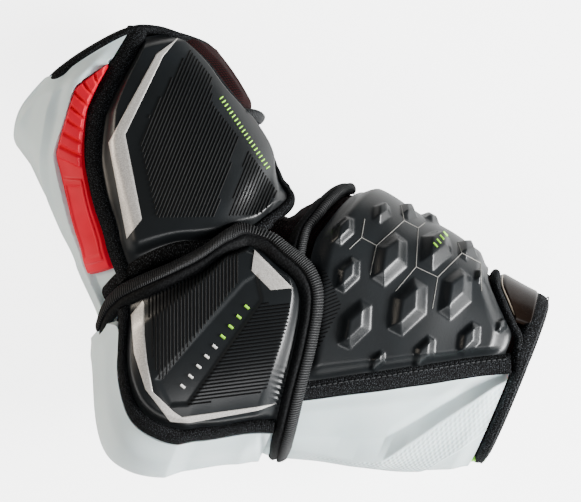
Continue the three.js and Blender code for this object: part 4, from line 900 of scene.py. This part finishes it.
lines += hatching([[22.5, 9.8], [37.6, 9.1], [36.0, -1.4], [24.3, -37.0], [-17.5, -45.1]], 7, 1.85)
printed("elbow_hatching", lines, 0.48, INK, elbow_panel, "elbow_panel")
# A row of nine short slanted bars in raised ink, white and then green.
bars = [np.array([[-20.6, -33.5], [-18.4, -35.3]]) + np.array([34.0, 42.0]) * t for t in even(8)]
WHITE_INK, tree, base = finish_of("raised_white_ink", Base_Color=linear("#eceae6"), Roughness=0.5)
printed("elbow_white_bars", bars[:5], 0.7, WHITE_INK, elbow_panel, "elbow_panel", 0.1)
printed("elbow_green_bars", bars[5:], 0.7, GREEN_INK, elbow_panel, "elbow_panel", 0.1)
laid("elbow_panel_far", places[::2, ::2] * [1, -1], 9.4, height[::2, ::2] - 0.4, FOAM, "moulded_foam", 1.0)

# ---- Elbow band and seam tapes ----
# The broad ribbed band of stretch tape that frames both elbow panels and crosses the back, and the knitted
# tape over the joint of panel and cap.
LOBE = np.array([[0.358, 149.5]])
band_line = line(np.concatenate([
    LOBE, at(ELBOW_LOOP, even(24)), [[0.653, 165], [0.653, 180], [0.653, 195]],
    over_back(at(ELBOW_LOOP, 1 - even(24))), over_back(LOBE)]), 600)
ELBOW_LOW = 8.9
band_low = ELBOW_LOW - 4.2 * rise((off_crook(band_line[:, 1]) - 138) / 26) * (band_line[:, 0] > 0.5)
BAND_THICK, BAND_GROOVE = 5.6, 1.5
tape("elbow_band", RIBBED, "ribbed_band", band_line, ELBOW_BAND + 0.6, band_low, BAND_THICK, cols=25,
     groove=BAND_GROOVE)
row = ribs(band_line, ELBOW_BAND + 0.6, band_low, BAND_THICK, *RIB_PLACE, BAND_GROOVE)
threads("elbow_band_ribs", row, 0.36, RIB_YARN, "ribbed_band", "elbow_band")
for side, name in FLANKS:
    path = stretch(ELBOW_SEAM, 0.03, 0.96) * [1, side]
    tape("elbow_seam_tape" + name, KNIT, "edge_tape", path, ELBOW_SEAM_TAPE + 0.6, ELBOW_LOW, 4.8)

# ---- Floor, light and camera ----
# A plain white table, a large soft box from the right, a weaker warm one from the left and one from the foot.
floor_mesh = bpy.data.meshes.new("table_top")
floor_mesh.from_pydata([(-4, -4, 0), (4, -4, 0), (4, 4, 0), (-4, 4, 0)], [], [(0, 1, 2, 3)])
table_top = placed("table_top", floor_mesh)
# White acrylic, lit from below: an even pale ground. Its glow is for the eye alone and casts no light upwards.
FLOOR, tree, base = finish_of("lit_white_acrylic", Base_Color=linear("#fbfbfa"), Roughness=0.9,
                              Specular_IOR_Level=0.1, Emission_Color=linear("#ffffff"))
direct = add(tree, "ShaderNodeLightPath").outputs["Is Camera Ray"]
shine = add(tree, "ShaderNodeMath", {0: direct, 1: 4.0}, operation="MULTIPLY")
tree.links.new(shine.outputs[0], base.inputs["Emission Strength"])
floor_mesh.materials.append(FLOOR)
LIT = Vector((0.03, 0.03, 0.06))
for name, place, size, power, code in (("light_right", (1.15, -0.22, 0.48), (0.8, 0.3), 56, "#ffffff"),
                                       ("light_left", (-1.1, 0.25, 0.45), (0.7, 0.3), 9, "#fff0de"),
                                       ("light_foot", (0.1, -1.2, 1.5), (1.2, 0.5), 14, "#ffffff")):
    lamp = bpy.data.lights.new(name, "AREA")
    lamp.shape, lamp.size, lamp.size_y = "RECTANGLE", size[0], size[1]
    lamp.energy, lamp.color = power, linear(code)[:3]
    holder = placed(name, lamp)
    holder.location = place
    holder.rotation_euler = (LIT - Vector(place)).to_track_quat("-Z", "Y").to_euler()
world = bpy.data.worlds.new("studio")
world.use_nodes = True
world.node_tree.nodes["Background"].inputs["Color"].default_value = linear("#e9f2fa")
world.node_tree.nodes["Background"].inputs["Strength"].default_value = 0.24
bpy.context.scene.world = world
view = bpy.data.cameras.new("camera")
view.sensor_width, view.lens = 36, 257.2
camera = placed("camera", view)
camera.location = EYE
view.clip_start, view.clip_end = 0.1, 20
bpy.context.scene.camera = camera
